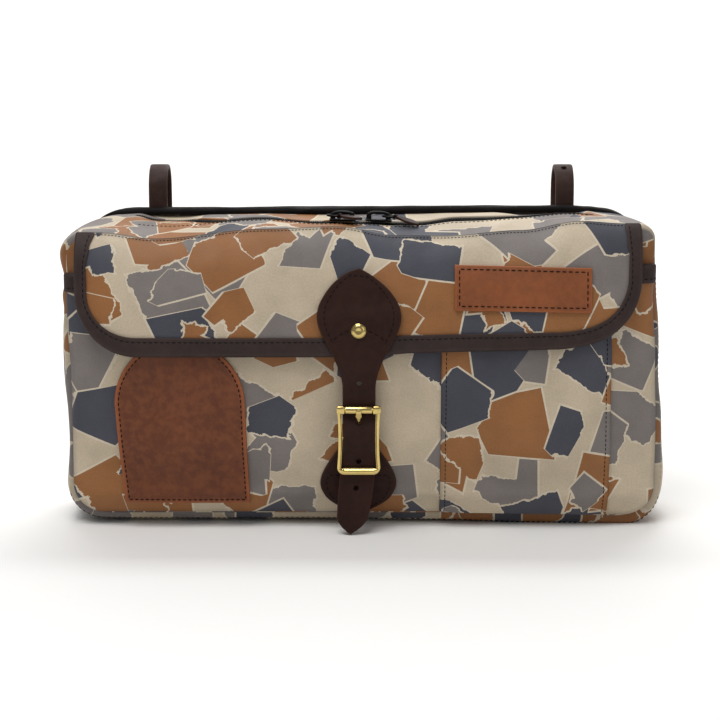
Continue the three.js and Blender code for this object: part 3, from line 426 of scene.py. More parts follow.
def shell(outer, inner):               # two grids of points closed round their edges into one wall
    rows, columns = outer.shape[:2]
    front = np.arange(rows * columns).reshape(rows, columns)
    back = front + rows * columns

    def rim(a, b):                     # faces between two rows of point numbers
        return np.stack([a[:-1], b[:-1], b[1:], a[1:]], -1)

    faces = np.concatenate([
        quadsOf(front), quadsOf(back)[:, ::-1],
        rim(front[0], back[0]), rim(front[-1], back[-1])[:, ::-1],
        rim(front[:, 0], back[:, 0])[:, ::-1], rim(front[:, -1], back[:, -1]),
    ])
    return np.concatenate([outer.reshape(-1, 3), inner.reshape(-1, 3)]), faces, []


def loft(rings, closed=False):         # closed sections carried along a path, capped unless it is a ring
    count, size = rings.shape[:2]
    index = np.arange(count * size).reshape(count, size)
    looped = np.concatenate([index, index[:, :1]], 1)
    if closed:
        return rings.reshape(-1, 3), quadsOf(np.concatenate([looped, looped[:1]])), []
    return rings.reshape(-1, 3), quadsOf(looped), [index[0][::-1].tolist(), index[-1].tolist()]


def outwards(points, faces, caps):     # turns the faces of a closed body out, by the sign of its volume
    a, b, c, d = (points[faces[:, i]] - points.mean(0) for i in range(4))
    volume = (a * np.cross(b, c)).sum() + (a * np.cross(c, d)).sum()
    for cap in caps:
        corners = points[cap] - points.mean(0)
        volume += (corners[0] * np.cross(corners[1:-1], corners[2:])).sum()
    if volume > 0:
        return points, faces, caps
    return points, faces[:, ::-1], [cap[::-1] for cap in caps]


def joined(*solids):                   # several bodies as one mesh
    points, faces, caps, start = [], [], [], 0
    for solid in solids:
        ownPoints, ownFaces, ownCaps = outwards(*solid)
        points.append(ownPoints)
        faces.append(ownFaces + start)
        caps += [[corner + start for corner in cap] for cap in ownCaps]
        start += len(ownPoints)
    return np.concatenate(points), np.concatenate(faces), caps


def meshOf(name, points, faces, caps):  # a mesh in metres from points in millimetres
    mesh = bpy.data.meshes.new(name)
    mesh.from_pydata((points * mm).tolist(), [], faces.tolist() + caps)
    return mesh


def addPiece(name, solid, look, node=None, pattern=None, edge=None, crease=38):
    # a piece of the bag: its print follows the pattern's places, and its edge values give pale wear and a
    # painted crest highlight on leather, and painted shade on canvas
    mesh = meshOf(name, *outwards(*solid))
    corners = np.empty(len(mesh.loops), np.int32)
    mesh.loops.foreach_get("vertex_index", corners)
    if pattern is not None:
        layer = mesh.uv_layers.new(name="pattern")
        layer.data.foreach_set("uv", (pattern[corners] * mm).astype(np.float32).ravel())
    if edge is not None:
        values = edge.astype(np.float32).ravel()
        mesh.attributes.new("edge", "FLOAT", "POINT").data.foreach_set("value", values)
    mesh.polygons.foreach_set("use_smooth", np.ones(len(mesh.polygons), bool))
    mesh.set_sharp_from_angle(angle=math.radians(crease))
    material, slot = looks[look]
    mesh.materials.append(material)
    piece = addObject(name, mesh)
    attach(piece, "root")
    if node:
        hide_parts(node)
    return piece


def twice(grid):                       # the same values for both sides of a wall
    flat = np.asarray(grid, float).reshape(-1, *np.shape(grid)[2:])
    return np.concatenate([flat, flat])


def tangents(path):                    # directions along a row of points
    return unit(np.gradient(path, axis=0))


def upright(ahead):                    # the direction square to a path that lies in the plane of y and z
    return point(0, -ahead[:, 2], ahead[:, 1])


def carried(path, section, width, height, across, up):
    # a section of unit half sizes carried along a path, sized and laid on two directions
    first, second = (part[None, :, None] for part in section)
    width, height = (np.broadcast_to(size, len(path))[:, None, None] for size in (width, height))
    across, up = (np.broadcast_to(way, path.shape)[:, None] for way in (across, up))
    return path[:, None] + width * first * across + height * second * up


def tube(path, across, up, width, height=None, count=12, closed=False):
    # an ellipse of the given half width and half height carried along a path
    turn = around(count)
    section = np.cos(turn), np.sin(turn)
    return loft(carried(path, section, width, width if height is None else height, across, up), closed)


def roundedSection(count, power):      # a soft-cornered square section of unit half sizes
    cosine, sine = np.cos(around(count)), np.sin(around(count))
    return [np.sign(part) * np.abs(part) ** (2 / power) for part in (cosine, sine)]


def turned(profile, centre, axis, count=40):
    # a profile of (radius, height) turned about an axis through a centre
    axis = unit(np.asarray(axis, float))
    side = unit(np.cross(axis, (1.0, 0.0, 0.0) if abs(axis[0]) < 0.9 else (0.0, 0.0, 1.0)))
    turn = around(count)
    radius, height = np.array(profile, float).T
    ring = np.cos(turn)[:, None] * side + np.sin(turn)[:, None] * np.cross(axis, side)
    rings = np.asarray(centre, float) + radius[:, None, None] * ring + height[:, None, None] * axis
    return loft(rings)


def hoop(bore, corners, centre, axis, count):
    # a hollow ring turned from its bore and its outer corners of (radius, half length), alike at both ends
    radius, half = np.array([(bore, corners[0][1]), *corners], float).T
    profile = np.concatenate([point(radius, -half), point(radius, half)[::-1], [(bore, -half[0])]])
    points, faces, _ = turned(profile, centre, axis, count)
    return points, faces, []


# Body sizes, as in the solids
body = {
    "halfWidth": 187, "depth": 70, "seamLift": 8.5, "frontTop": 190.5, "backTop": 196, "backTilt": 1,
    "frontCorner": 12, "backCorner": 28, "bottomCorner": 20, "canvas": 1.5, "gap": 0.4,
    "driftPower": 6, "sagHeight": 70,
}
bodyHalf, depth, seamLow = body["halfWidth"], body["depth"], body["seamLift"]
canvas, gap = body["canvas"], body["gap"]
topCrown = [(-80, 3), (-64, 2.8), (-23, -0.5), (-11, -0.8), (10, 1.4), (36, 1.95), (60, 4), (90, 4.3),
            (120, 4.2), (150, 3)]      # rise between the front and back top seams
backSag = [(-187, -0.6), (-168, -1.1), (-150, 0), (138, 0), (150, -0.7), (161, -2), (187, -2)]
topWave = [(-187, -2), (-165, -2.2), (-132, -6), (-62, 0.3), (-16, 1.8), (20, -3.8), (50, -4.2), (100, -0.6),
           (137, 5.2), (165, 3.6), (187, 3.6)]      # rise and fall of the front top seam
seamDrift = {          # how far the front side seams stand out of the plain outline, by height
    "right": [(8.5, 1.6), (60, 1.6), (110, 0), (150, -2.6), (182, -2.6), (194, 0)],
    "left": [(8.5, 0.6), (60, 0), (100, 0), (135, 1.6), (165, 1.6), (190, 0)],
}
bottomSag = [(-187, 0), (60, 0), (120, -0.8), (165, -2), (187, -2)]


def frontTop(x):                       # height of the wavy front top seam
    return body["frontTop"] + eased(topWave, x)


def backTop(x):                        # height of the back top seam, tilted and sagging
    return body["backTop"] + body["backTilt"] * np.asarray(x, float) / bodyHalf + eased(backSag, x)


def drifted(x, z):                     # places on the front outline after the seams' drift and the base's sag
    out = np.where(x > 0, eased(seamDrift["right"], z), -eased(seamDrift["left"], z))
    low = eased(bottomSag, x) * (1 - ramp(z, seamLow, body["sagHeight"]))
    return x + out * np.abs(x / bodyHalf) ** body["driftPower"], z + low


def insetOf(x, z):                     # distance in from the front outline, round its lower corners
    corner = body["bottomCorner"]
    outX, outZ = np.abs(x) - (bodyHalf - corner), seamLow + corner - z
    far = np.hypot(np.maximum(outX, 0), np.maximum(outZ, 0)) + np.minimum(np.maximum(outX, outZ), 0)
    return corner - far


def roll(inset, radius):               # quarter-round rise from a seam
    return np.sqrt(np.maximum(1 - near(inset, radius) ** 2, 0))


def cornered(half, corner, past):      # a half width drawn in round a corner, by how far past its start
    return half - corner + np.sqrt(np.maximum(corner ** 2 - np.maximum(past, 0) ** 2, 0))


gusset = {"zipHalf": 150.1, "top": 3, "base": 9.6, "sidePower": 2.4, "dip": 1.1, "dipReach": 3.2,
          # its edge value is the reach of painted shade along its seams
          "printBreak": -3, "floorSoft": 0.6, "press": 0.1, "edge": 5, "level": -0.99, "columns": 44}
sideFull = {           # how far the gusset's sides stand out, by height
    "left": [(8.5, 10), (22, 7.6), (35, 6.3), (55, 5), (75, 5.7), (95, 8), (110, 7.4), (129, 5.7), (142, 4.6),
             (152, 5.4), (158.7, 2.8), (165, 4.2), (172, 6.8), (190, 8)],
    "right": [(8.5, 10.2), (22, 9), (35, 9), (62, 7.7), (75, 7), (92, 5), (146, 5), (159, 3.7), (169, 2.4),
              (190, 1.8)],
}
basePower = [(-187, 2.1), (-100, 2.3), (-40, 2.1), (40, 2.6), (110, 3.6), (187, 4.2)]      # how square below
zipBend = [(-146, 0.8), (-86, 0.5)]          # the zip's place across the top, in shares of the depth
backSink = [(-149, 0), (-137, 2), (-120, 2), (-100, 0), (84, 0), (112, 2.4), (138, 2.4),
            (149, 0)]      # a valley in the top behind the zip
topShape = {"sinkFrom": (0.5, 0.78), "sinkTo": (1, 0.93), "ends": (126, 150)}   # shares of the depth, and x


def standsOut(share, power):           # a rounded bulge between two seams
    return np.maximum(1 - np.abs(2 * share - 1) ** power, 0) ** (1 / power)


def seamDip(away):                     # the cloth drawn in along a seam
    return gusset["dip"] * near(away, gusset["dipReach"]) ** 2


def zipShare(x):                       # the zip's place across the top
    return eased(zipBend, x)


def topSkin(x, share):                 # top of the bag, from the front seam to the back seam
    crown = 4 * eased(topCrown, x) * share * (1 - share)
    soft = swell(x, share * depth, "top") * np.sin(np.pi * np.clip(share, 0, 1))
    valley = eased(backSink, x) * ramp(share, *topShape["sinkFrom"]) * ramp(share, *topShape["sinkTo"])
    ending = gusset["top"] * standsOut(share, gusset["sidePower"])
    rise = mix(crown + soft, ending, ramp(np.abs(x), *topShape["ends"])) - valley
    return point(x, depth * (share - 0.5), mix(frontTop(x), backTop(x), share) + rise)


# Flap: leaves the top seam at a slant and turns down to hang
flap = {"middle": -3, "half": 177, "length": 82.5, "leftCorner": 38, "rightCorner": 46, "start": 30,
        "turn": 24, "settle": 60, "root": 1, "rise": 1.6, "sideFall": 0.38, "sidePower": 10, "sideSettle": 50,
        "smooth": (2, 30), "foldRows": (-1, -0.3, 0.3, 0.9, 1.5, 2.2), "firstRow": 3, "crowding": 1.6,
        # runs of painted shade below the top seam and of a painted shadow line at the fold, and that line's
        # strength
        "seamShade": (6, 0), "foldShadow": (0.9, -0.3), "foldShadowStrength": 2, "rows": 86, "columns": 150}
flapDrawn = [(0, 0), (30, 2.6), (80, 3.6), (121, 4.7), (137, 5.8), (174, 5)]     # its lower edge drawn up
flapRuns = np.linspace(-2, 130, 1200)        # runs down the cloth, from above the seam to below the hem
flapFall = np.radians(mix(90, flap["start"], np.exp(-np.maximum(flapRuns, 0) / flap["turn"])))


def summed(slope):                     # what a slope adds up to along the flap, from the seam on
    total = np.cumsum(slope) * (flapRuns[1] - flapRuns[0])
    return total - np.interp(0, flapRuns, total)


flapReach, flapDrop = summed(np.cos(flapFall)), summed(np.sin(flapFall))


def flapSkin(x, run):                  # the slant summed along the run, with waves and fallen sides
    x, run = np.broadcast_arrays(np.asarray(x, float), np.asarray(run, float))
    edge = np.abs((x - flap["middle"]) / flap["half"]) ** flap["sidePower"]
    side = 1 - flap["sideFall"] * edge * ramp(run, 0, flap["sideSettle"])
    wave = (frontTop(x) - body["frontTop"]) * (1 - ramp(run, 0, flap["settle"]))
    soft = swell(x, run, "flap") * ramp(run, *flap["smooth"])
    y = -depth / 2 - flap["root"] - np.interp(run, flapRuns, flapReach) * side - soft
    return point(x, y, body["frontTop"] + flap["rise"] + wave - np.interp(run, flapRuns, flapDrop))


def hemSkin(x, run):                   # the flap, shortened towards its drawn-up lower edge
    run = np.asarray(run, float)
    return flapSkin(x, run - eased(flapDrawn, x) * (np.maximum(run, 0) / flap["length"]) ** 2)


# Front pocket: how full it stands and how far it sits off the body, by height
pocket = {"top": 166.7, "tilt": 3, "tiltFrom": 104, "full": 13, "sidePower": 8, "edge": 4.5, "spare": 0.5,
          # the seam values give the reach of painted shade along the pocket's seams, and the reach and
          # strength of a darker painted shadow line at them
          "smooth": (2, 30), "crowding": 1.5, "seam": 4, "seamShadowReach": 1.2, "seamShadowStrength": 1.2, "boundIn": 0.6,
          "rows": 110, "columns": 170}
pocketShare = [(8.5, 0), (25, 0.62), (60, 1), (110, 1), (167, 0.3)]
pocketSeat = [(8.5, 3.6), (25, 3.6), (60, 4), (110, 4.4), (167, 6)]


def pocketSkin(x, z):                  # a bulge that fades to its side seams and rolls in at its edge
    x, z = np.broadcast_arrays(np.asarray(x, float), np.asarray(z, float))
    side = 1 - np.minimum(np.abs(x / (bodyHalf + pocket["spare"])), 1) ** pocket["sidePower"]
    inset = insetOf(x, z)
    seat = eased(pocketSeat, z) * roll(inset, pocket["edge"])
    soft = swell(x, z, "pocket") * ramp(inset, *pocket["smooth"])
    y = -depth / 2 - seat - pocket["full"] * eased(pocketShare, z) * side - soft
    movedX, movedZ = drifted(x, z)
    return point(movedX, y, movedZ)


def pocketTop(x):                      # height of the pocket's tilted top edge
    return pocket["top"] + pocket["tilt"] * np.asarray(x, float) / bodyHalf


# Canvas panels, each with its own place on the printed cloth
printShift = {"flap": (0, 0), "pocket": (130, 420), "slip": (310, 905), "top": (60, 1400), "back": (90, 2200),
              "front": (50, 2600)}


def canvasPiece(name, node, outer, inner, u, v, cut, edge):  # a wall of cloth between two grids, with painted shade where its edge values are high
    shiftU, shiftV = printShift[cut]
    pattern = twice(point(u + shiftU, v + shiftV))
    return addPiece(name, shell(outer, inner), "canvas", node, pattern, twice(edge))


def makeFlap():                        # rows down the hanging skin, drawn in round its lower corners
    level = np.linspace(0, 1, flap["rows"])
    below = mix(flap["firstRow"], flap["length"], 1 - (1 - level) ** flap["crowding"])
    run = np.concatenate([flap["foldRows"], below])[:, None]
    share = crowded(flap["columns"])
    corner = np.where(share < 0, flap["leftCorner"], flap["rightCorner"])
    x = flap["middle"] + cornered(flap["half"], corner, run - (flap["length"] - corner)) * share
    run = np.broadcast_to(run, x.shape)
    # painted shade below the top seam, and a darker painted shadow line along the fold
    edge = ramp(run, *flap["seamShade"]) + flap["foldShadowStrength"] * ramp(run, *flap["foldShadow"])
    inner = raised(hemSkin, x, run, -canvas)
    return canvasPiece("flap", "flap", hemSkin(x, run), inner, x, -run, "flap", edge)


def makePocket():                      # rows up the bulging skin, with its top edge tilted
    level = np.linspace(0, 1, pocket["rows"])[:, None] ** pocket["crowding"]
    z = mix(seamLow, pocket["top"], level)
    low = body["bottomCorner"]
    x = cornered(bodyHalf, low, seamLow + low - z) * crowded(pocket["columns"])
    z = z + (pocketTop(x) - pocket["top"]) * ramp(z, pocket["tiltFrom"], pocket["top"])
    inset = insetOf(x, z)
    # painted shade along the seams, and a darker painted shadow line right at them
    edge = near(inset, pocket["seam"]) + pocket["seamShadowStrength"] * near(inset, pocket["seamShadowReach"])
    return canvasPiece("frontPocket", "front_pocket", pocketSkin(x, z), raised(pocketSkin, x, z, -canvas),
                       x, z, "pocket", edge)


slip = {"left": 49.3, "right": 157, "low": 11, "high": 133, "thickness": 1.5, "hem": 3.2, "puff": (3, 14),
        # its edge value is the reach of painted shade along its sides
        "groove": 0.35, "grooveWide": 0.8, "round": 0.8, "edge": 2.5, "rows": 80, "columns": 70}


def makeSlipPocket():                  # the pocket's skin lifted by a puff inside its hems
    z = mix(slip["low"], slip["high"], np.linspace(0, 1, slip["rows"]))[:, None]
    x, z = np.broadcast_arrays(mix(slip["left"], slip["right"], crowdedShare(slip["columns"])), z)
    inset = np.minimum(x - slip["left"], slip["right"] - x)
    puff = ramp(inset, *slip["puff"]) - slip["groove"] * bell(inset - slip["hem"], slip["grooveWide"])
    lift = gap + slip["thickness"] * roll(inset, slip["round"]) + puff
    outer, inner = (raised(pocketSkin, x, z, lift - under) for under in (0, slip["thickness"]))
    # painted shade near the slip pocket's sides
    return canvasPiece("slipPocket", "slip_pocket", outer, inner, x, z, "slip", near(inset, slip["edge"]))


def outlineOf(topAt, corner):
    # the body's outline from one zip end, down, along the base and up again, as (x, z) and the way out
    low, start = body["bottomCorner"], gusset["zipHalf"]
    left, right = float(topAt(-bodyHalf)), float(topAt(bodyHalf))
    inLeft, inRight, lowLeft, lowRight = corner - bodyHalf, bodyHalf - corner, low - bodyHalf, bodyHalf - low

    def arc(x, z, radius, first, last, count):  # part of a circle, with the way out
        turn = np.radians(np.linspace(first, last, count))
        out = point(np.cos(turn), np.sin(turn))
        return np.concatenate([(x, z) + radius * out, out], 1)

    def line(first, last, out, count, kept=slice(1, -1)):  # a straight run, with the way out
        share = np.linspace(0, 1, count + 2)[kept, None]
        return np.concatenate([mix(np.array(first), np.array(last), share), np.tile(out, (len(share), 1))], 1)

    return np.concatenate([
        line((-start, float(topAt(-start))), (inLeft, left), (0, 1), 12, slice(0, -1)),
        arc(inLeft, left - corner, corner, 90, 180, 26),
        line((-bodyHalf, left - corner), (-bodyHalf, seamLow + low), (-1, 0), 80),
        arc(lowLeft, seamLow + low, low, 180, 270, 34),
        line((lowLeft, seamLow), (lowRight, seamLow), (0, -1), 160),
        arc(lowRight, seamLow + low, low, 270, 360, 34),
        line((bodyHalf, seamLow + low), (bodyHalf, right - corner), (1, 0), 80),
        arc(inRight, right - corner, corner, 0, 90, 26),
        line((inRight, right), (start, float(topAt(start))), (0, 1), 12, slice(1, None)),
    ])


frontOutline, backOutline = outlineOf(frontTop, body["frontCorner"]), outlineOf(backTop, body["backCorner"])


def gussetSkin(share):
    # from the front outline to the back one, standing out between them by a rounded bulge
    frontX, frontZ = drifted(frontOutline[:, 0], frontOutline[:, 1])
    x, z, outX, outZ = frontOutline.T[:, :, None]
    down = np.where(outZ < 0, outZ ** 2, 0)
    side = np.where(outX < 0, flowing(sideFull["left"], z), flowing(sideFull["right"], z))
    fullness = mix(side, np.where(outZ > 0, gusset["top"], gusset["base"]), outZ ** 2)
    power = mix(gusset["sidePower"], eased(basePower, x), down)
    length = np.cumsum(np.hypot(np.gradient(x[:, 0]), np.gradient(z[:, 0])))[:, None]
    soft = swell(length, share * depth, "gusset") * np.sin(np.pi * share)
    dip = seamDip(np.minimum(share, 1 - share) * depth)
    out = fullness * standsOut(share, power) + soft * (1 - outZ ** 2) - dip
    x = mix(frontX[:, None], backOutline[:, 0:1], share) + outX * out
    z = mix(frontZ[:, None], backOutline[:, 1:2], share) + outZ * out
    z = (z + np.sqrt(z * z + gusset["floorSoft"])) / 2 - gusset["press"] * down      # flattened on the floor
    return point(x, depth * (share - 0.5), np.maximum(z, 0)), length


def makeGusset():                      # the gusset's skin, and the same moved in against its way out
    share = crowdedShare(gusset["columns"])
    outer, length = gussetSkin(share)
    x, _, outX, outZ = frontOutline.T[:, :, None]
    across = share * depth
    pastStrap = np.cumsum((outZ < gusset["level"]) & (x > gusset["printBreak"]), 0) > 0
    along = np.where(pastStrap, gusset["zipHalf"] + length[-1] - length, -gusset["zipHalf"] - length)
    along, across = np.broadcast_arrays(along, across)
    # painted shade near the front and back seams
    edge = near(np.minimum(across, depth - across), gusset["edge"])
    inner = outer - point(outX, 0, outZ) * canvas
    return canvasPiece("gusset", "gusset", outer, inner, along, across, "top", edge)


# its edge value is the reach of painted shade along the panels' seams
panel = {"rows": 90, "columns": 120, "liftFrom": 114, "round": 3, "edge": 4, "bulge": 2, "bulgeReach": 45,
         "smooth": (5, 40), "frontTuck": 1.2, "frontGap": 0.2, "narrowed": 1.6, "narrowing": (172, 150)}


def panelGrid(topAt, corner, tuck):
    # points of a flat panel whose top edge follows its seam and whose corners are round
    low, top = body["bottomCorner"], float(topAt(0))
    level = crowdedShare(panel["rows"])[:, None]
    height = top - seamLow
    z = seamLow + height * level
    half = np.minimum(cornered(bodyHalf, corner, corner - height * (1 - level)),
                      cornered(bodyHalf, low, low - height * level))
    x = half * crowded(panel["columns"])
    lift = (topAt(x) - tuck - top) * ramp(z, panel["liftFrom"], top - corner)
    return x, z + lift, half


def makeBackPanel():                   # a flat panel, rolled at its seams, with a low bulge
    x, z, half = panelGrid(backTop, body["backCorner"], 0)
    inset = np.minimum(np.minimum(half - np.abs(x), z - seamLow), backTop(x) - z)
    bulge = panel["bulge"] * ramp(inset, 0, panel["bulgeReach"])
    bulge = bulge + swell(x, z, "back") * ramp(inset, *panel["smooth"])
    y = depth / 2 + gap + canvas * roll(inset, panel["round"]) + bulge
    # painted shade near the seams
    return canvasPiece("backPanel", "back_panel", point(x, y, z), point(x, y - canvas, z), -x, z, "back",
                       near(inset, panel["edge"]))


def makeFrontPanel():                  # a flat panel that drifts with the front seams
    x, z, half = panelGrid(frontTop, body["frontCorner"], panel["frontTuck"])
    inset = np.minimum(half - np.abs(x), frontTop(x) - z)
    movedX, movedZ = drifted(x, z)
    movedX = movedX * (1 - panel["narrowed"] / bodyHalf * ramp(z, *panel["narrowing"]))
    y = -depth / 2 - panel["frontGap"] - canvas * roll(inset, panel["round"])
    outer, inner = point(movedX, y, movedZ), point(movedX, y + canvas, movedZ)
    # painted shade near the seams
    return canvasPiece("frontPanel", "front_panel", outer, inner, x, z, "front", near(inset, panel["edge"]))


zipSlot = {"share": 0.085, "closedShare": 0.5, "closes": (130, 149), "half": 150, "fold": 0.6, "round": 0.8,
           # reaches of painted shade from the zip's fold and from the seam
           "foldShadeReach": 2, "seamShadeReach": 4, "rows": 240, "columns": 30}


def slotHalf(x):                       # half the zip's slot, drawn together towards its ends
    return zipSlot["share"] * mix(1, zipSlot["closedShare"], ramp(np.abs(x), *zipSlot["closes"]))


def slotEdge(x, side):                 # an edge of the slot, as a share of the depth
    return zipShare(x) + side * slotHalf(x)


def makeTopBand(name, node, side):     # the top's skin between a seam and the slot, folded in there
    x = np.linspace(-zipSlot["half"], zipSlot["half"], zipSlot["rows"])[:, None]
    seam = (1 + side) / 2
    share = mix(seam, slotEdge(x, side), crowdedShare(zipSlot["columns"]))
    x = np.broadcast_to(x, share.shape)
    outer = topSkin(x, share)
    inner = outer - point(0, 0, canvas)
    fromSlot, fromSeam = np.abs(share - slotEdge(x, side)) * depth, np.abs(share - seam) * depth
    outer[..., 2] -= zipSlot["fold"] * (1 - roll(fromSlot, zipSlot["round"])) + seamDip(fromSeam)
    # painted shade near the zip's fold and near the seam
    edge = np.maximum(near(fromSlot, zipSlot["foldShadeReach"]), near(fromSeam, zipSlot["seamShadeReach"]))
    return canvasPiece(name, node, outer, inner, x, share * depth, "top", edge)


clothPieces = {
    "flap": makeFlap(), "pocket": makePocket(), "slip": makeSlipPocket(), "gusset": makeGusset(),
    "back": makeBackPanel(), "front": makeFrontPanel(),
    "bandFront": makeTopBand("topBandFront", "top_band_front", -1),
    "bandBack": makeTopBand("topBandBack", "top_band_back", 1),
}
print("canvas made:", len(clothPieces), "cuts")


# Leather folded over an edge: a U section carried along edge points with their inward directions and widths
binding = {"width": 10.7, "thick": 1.2, "gap": 0.5, "stitchShare": 0.74, "legEnd": 0.6, "foldDeep": 0.75,
           "foldIn": 0.2, "thinned": 0.35, "innerDeep": 0.55, "innerIn": 0.3, "cutWear": 0.7,
           "foldWear": 0.9, "foldWorn": 0.5, "foldStart": 0.5}
flapBound = {          # width of the flap's binding down each side, by run
    -1: [(1, 10.6), (13, 8), (26, 6.3), (40, 6.6)], 1: [(1, 9), (14, 8.2), (24, 7.2), (36, 7.4)]}


def foldedSection(wall):
    # outer and inner lines of the fold as (inset, lift), round at the edge
    over = binding["gap"] + binding["thick"]
    under = -wall - over
    middle, radius = (over + under) / 2, (over - under) / 2
    turn = np.linspace(np.pi / 2, 3 * np.pi / 2, 13)
    leg = np.linspace(binding["width"], binding["legEnd"], 10)
    foldInset = radius * binding["foldDeep"] * np.cos(turn) + binding["foldIn"]
    fold = point(foldInset, middle + radius * np.sin(turn))
    outer = np.concatenate([point(leg, over), fold, point(leg[::-1], under)])
    outer[[0, -1], 1] += (-binding["thinned"], binding["thinned"])
    inset, lift = outer.T
    inset = np.where(inset < binding["foldStart"], inset * binding["innerDeep"] + binding["innerIn"], inset)
    inner = point(inset, middle + (lift - middle) * (radius - binding["thick"]) / radius)
    inner[[0, -1], 1] = binding["gap"], -wall - binding["gap"]
    return outer, inner


def makeFoldedBinding(name, node, skin, edge, wall):  # the fold carried along the edge, closed at its ends
    a, b, inA, inB, width = (value[:, None] for value in edge)
    outer, inner = foldedSection(wall)
    end = binding["legEnd"]

    def carry(section):                # the legs are stretched to the width at each edge point
        inset, lift = section.T[:, None]
        inset = np.where(inset > end, end + (inset - end) * (width - end) / (binding["width"] - end), inset)
        return raised(skin, a + inA * inset, b + inB * inset, lift)

    inset = outer[:, 0]
    worn = bell(inset - binding["width"], binding["cutWear"])
    worn = worn + binding["foldWorn"] * bell(inset, binding["foldWear"])
    return addPiece(name, shell(carry(outer), carry(inner)), "bindingLeather", node,
                    edge=twice(np.broadcast_to(worn, (len(a), len(worn)))))


def flapEdge(start=1.0):               # the flap's bound edge, from its upper left round to its upper right
    halves = {}
    for side, corner in ((-1, flap["leftCorner"]), (1, flap["rightCorner"])):
        straight = flap["length"] - corner
        run = np.linspace(start, straight, 40)
        turn = np.linspace(0, np.pi / 2, 36)[1:]
        width = eased(flapBound[side], run)
        down = point(flap["half"], run, -1, 0, width)
        bend = point(flap["half"] - corner * (1 - np.cos(turn)), straight + corner * np.sin(turn),
                     -np.cos(turn), -np.sin(turn), mix(width[-1], binding["width"], ease(turn / turn[-1])))
        halves[side] = np.concatenate([down, bend]) * (side, 1, side, 1, 1)
    across = np.linspace(halves[-1][-1, 0], halves[1][-1, 0], 120)[1:-1]
    bottom = point(across, flap["length"], 0, -1, binding["width"])
    edge = np.concatenate([halves[-1], bottom, halves[1][::-1]])
    edge[:, 0] += flap["middle"]
    return edge.T


def pocketEdge():                      # the pocket's top edge, with its way in and its width
    x = (bodyHalf - pocket["boundIn"]) * crowded(150)
    return point(x, pocketTop(x), 0, -1, binding["width"]).T


makeFoldedBinding("flapBinding", "flap_binding", hemSkin, flapEdge(), canvas)
makeFoldedBinding("pocketBinding", "pocket_binding", pocketSkin, pocketEdge(), canvas)


# Leather ridge along the back top edge, round both corners and fading out
ridge = {"half": 158.8, "sweep": 50, "fade": 0.55, "thick": 1.3, "crestAt": 0.5, "crestWide": 2.5,
         "crestWearAndHighlight": 0.35, "stretch": 4}
ridgeSection = [(-4.9, 0.2), (-5.0, 1.6), (-4.5, 3.2), (-3.3, 4.3), (-1.6, 4.9), (0.2, 5.0), (1.9, 4.5),
                (3.1, 3.3), (3.7, 1.6), (3.8, -1), (3.8, -4), (3.8, -7), (3.8, -10)]


def makeRidge():                       # the section carried along the back seam, lower as it fades
    corner = body["backCorner"]
    turn = np.radians(np.linspace(0, ridge["sweep"], 18))
    fade = mix(1, ridge["fade"], np.linspace(0, 1, 18))
    ends = []
    for side in (-1, 1):
        centreX, centreZ = side * (bodyHalf - corner), float(backTop(side * bodyHalf)) - corner
        ends.append(point(centreX + corner * side * np.sin(turn), centreZ + corner * np.cos(turn),
                          side * np.sin(turn), np.cos(turn), fade)[1:])
    x = np.linspace(-ridge["half"], ridge["half"], 160)
    path = np.concatenate([ends[0][::-1], point(x, backTop(x), 0, 1, 1), ends[1]])
    x, z, outX, outZ, fade = path.T[:, :, None]
    section = np.array(ridgeSection)
    inner = section - unit(point(-np.gradient(section[:, 1]), np.gradient(section[:, 0]))) * ridge["thick"]

    def carry(line):                   # a line of the section at every place of the path
        across, lift = line.T[:, None]
        lift = np.where(lift > 0, lift * fade, lift) + swell(x, across * ridge["stretch"], "ridge")
        return point(x + outX * lift, depth / 2 + across, z + outZ * lift)

    # the crest is paler: wear along it, and a painted highlight on the ridge's top
    worn = ridge["crestWearAndHighlight"] * bell(section[:, 0] - ridge["crestAt"], ridge["crestWide"])
    return addPiece("backRidge", shell(carry(section), carry(inner)), "ridgeLeather", "back_binding",
                    edge=twice(np.broadcast_to(worn, (len(path), len(worn)))))


makeRidge()
print("bindings made")


# Flat leather cut to an outline: rows across it, with the cut edges rounded over
cutEdge = {"soft": 0.8, "under": 0.35, "rim": 1.2, "paleTo": 0.2, "closeRows": (0, 0.08, 0.3, 0.65, 1)}


def plateSolid(skin, rows, lift, thick, columns, soft=cutEdge["soft"], ends=(True, True), rim=cutEdge["rim"]):
    # rows of length, middle and half width laid on a skin, thinner where the cut edges round over
    lengths, middles, halves = (np.asarray(value, float)[:, None] for value in rows)
    slope = np.gradient(halves[:, 0], lengths[:, 0])[:, None]
    across = halves * crowded(columns)
    a, b = np.broadcast_arrays(middles + across, lengths)
    inset = (halves - np.abs(across)) / np.sqrt(1 + slope ** 2)
    for end, rounded in zip((lengths[0], lengths[-1]), ends):
        if rounded:
            inset = np.minimum(inset, np.abs(lengths - end))
    rounding = soft * (1 - roll(inset, soft))
    top = raised(skin, a, b, lift + thick - rounding)
    low = raised(skin, a, b, lift + cutEdge["under"] * rounding)
    return shell(top, low), twice(ramp(inset, rim, cutEdge["paleTo"] * rim))


def endRows(first, last, count, soft=cutEdge["soft"]):      # even lengths, with extra ones at both ends
    close = soft * np.array(cutEdge["closeRows"])
    inner = np.linspace(first + soft, last - soft, count)[1:-1]
    return np.concatenate([first + close, inner, last - close[::-1]])


archPatch = {"low": 18, "spring": 83, "lowMiddle": -112.4, "middle": -116, "lowHalf": 40, "half": 41.4,
             "thick": 2, "stitchIn": 2.7, "rim": 4, "topHalf": 0.02}
flapPatch = {"left": 57.3, "right": 143, "start": 26.8, "end": 55.4, "turn": 0.017, "turnAt": 100, "thick": 2,
             "stitchIn": 2.9}


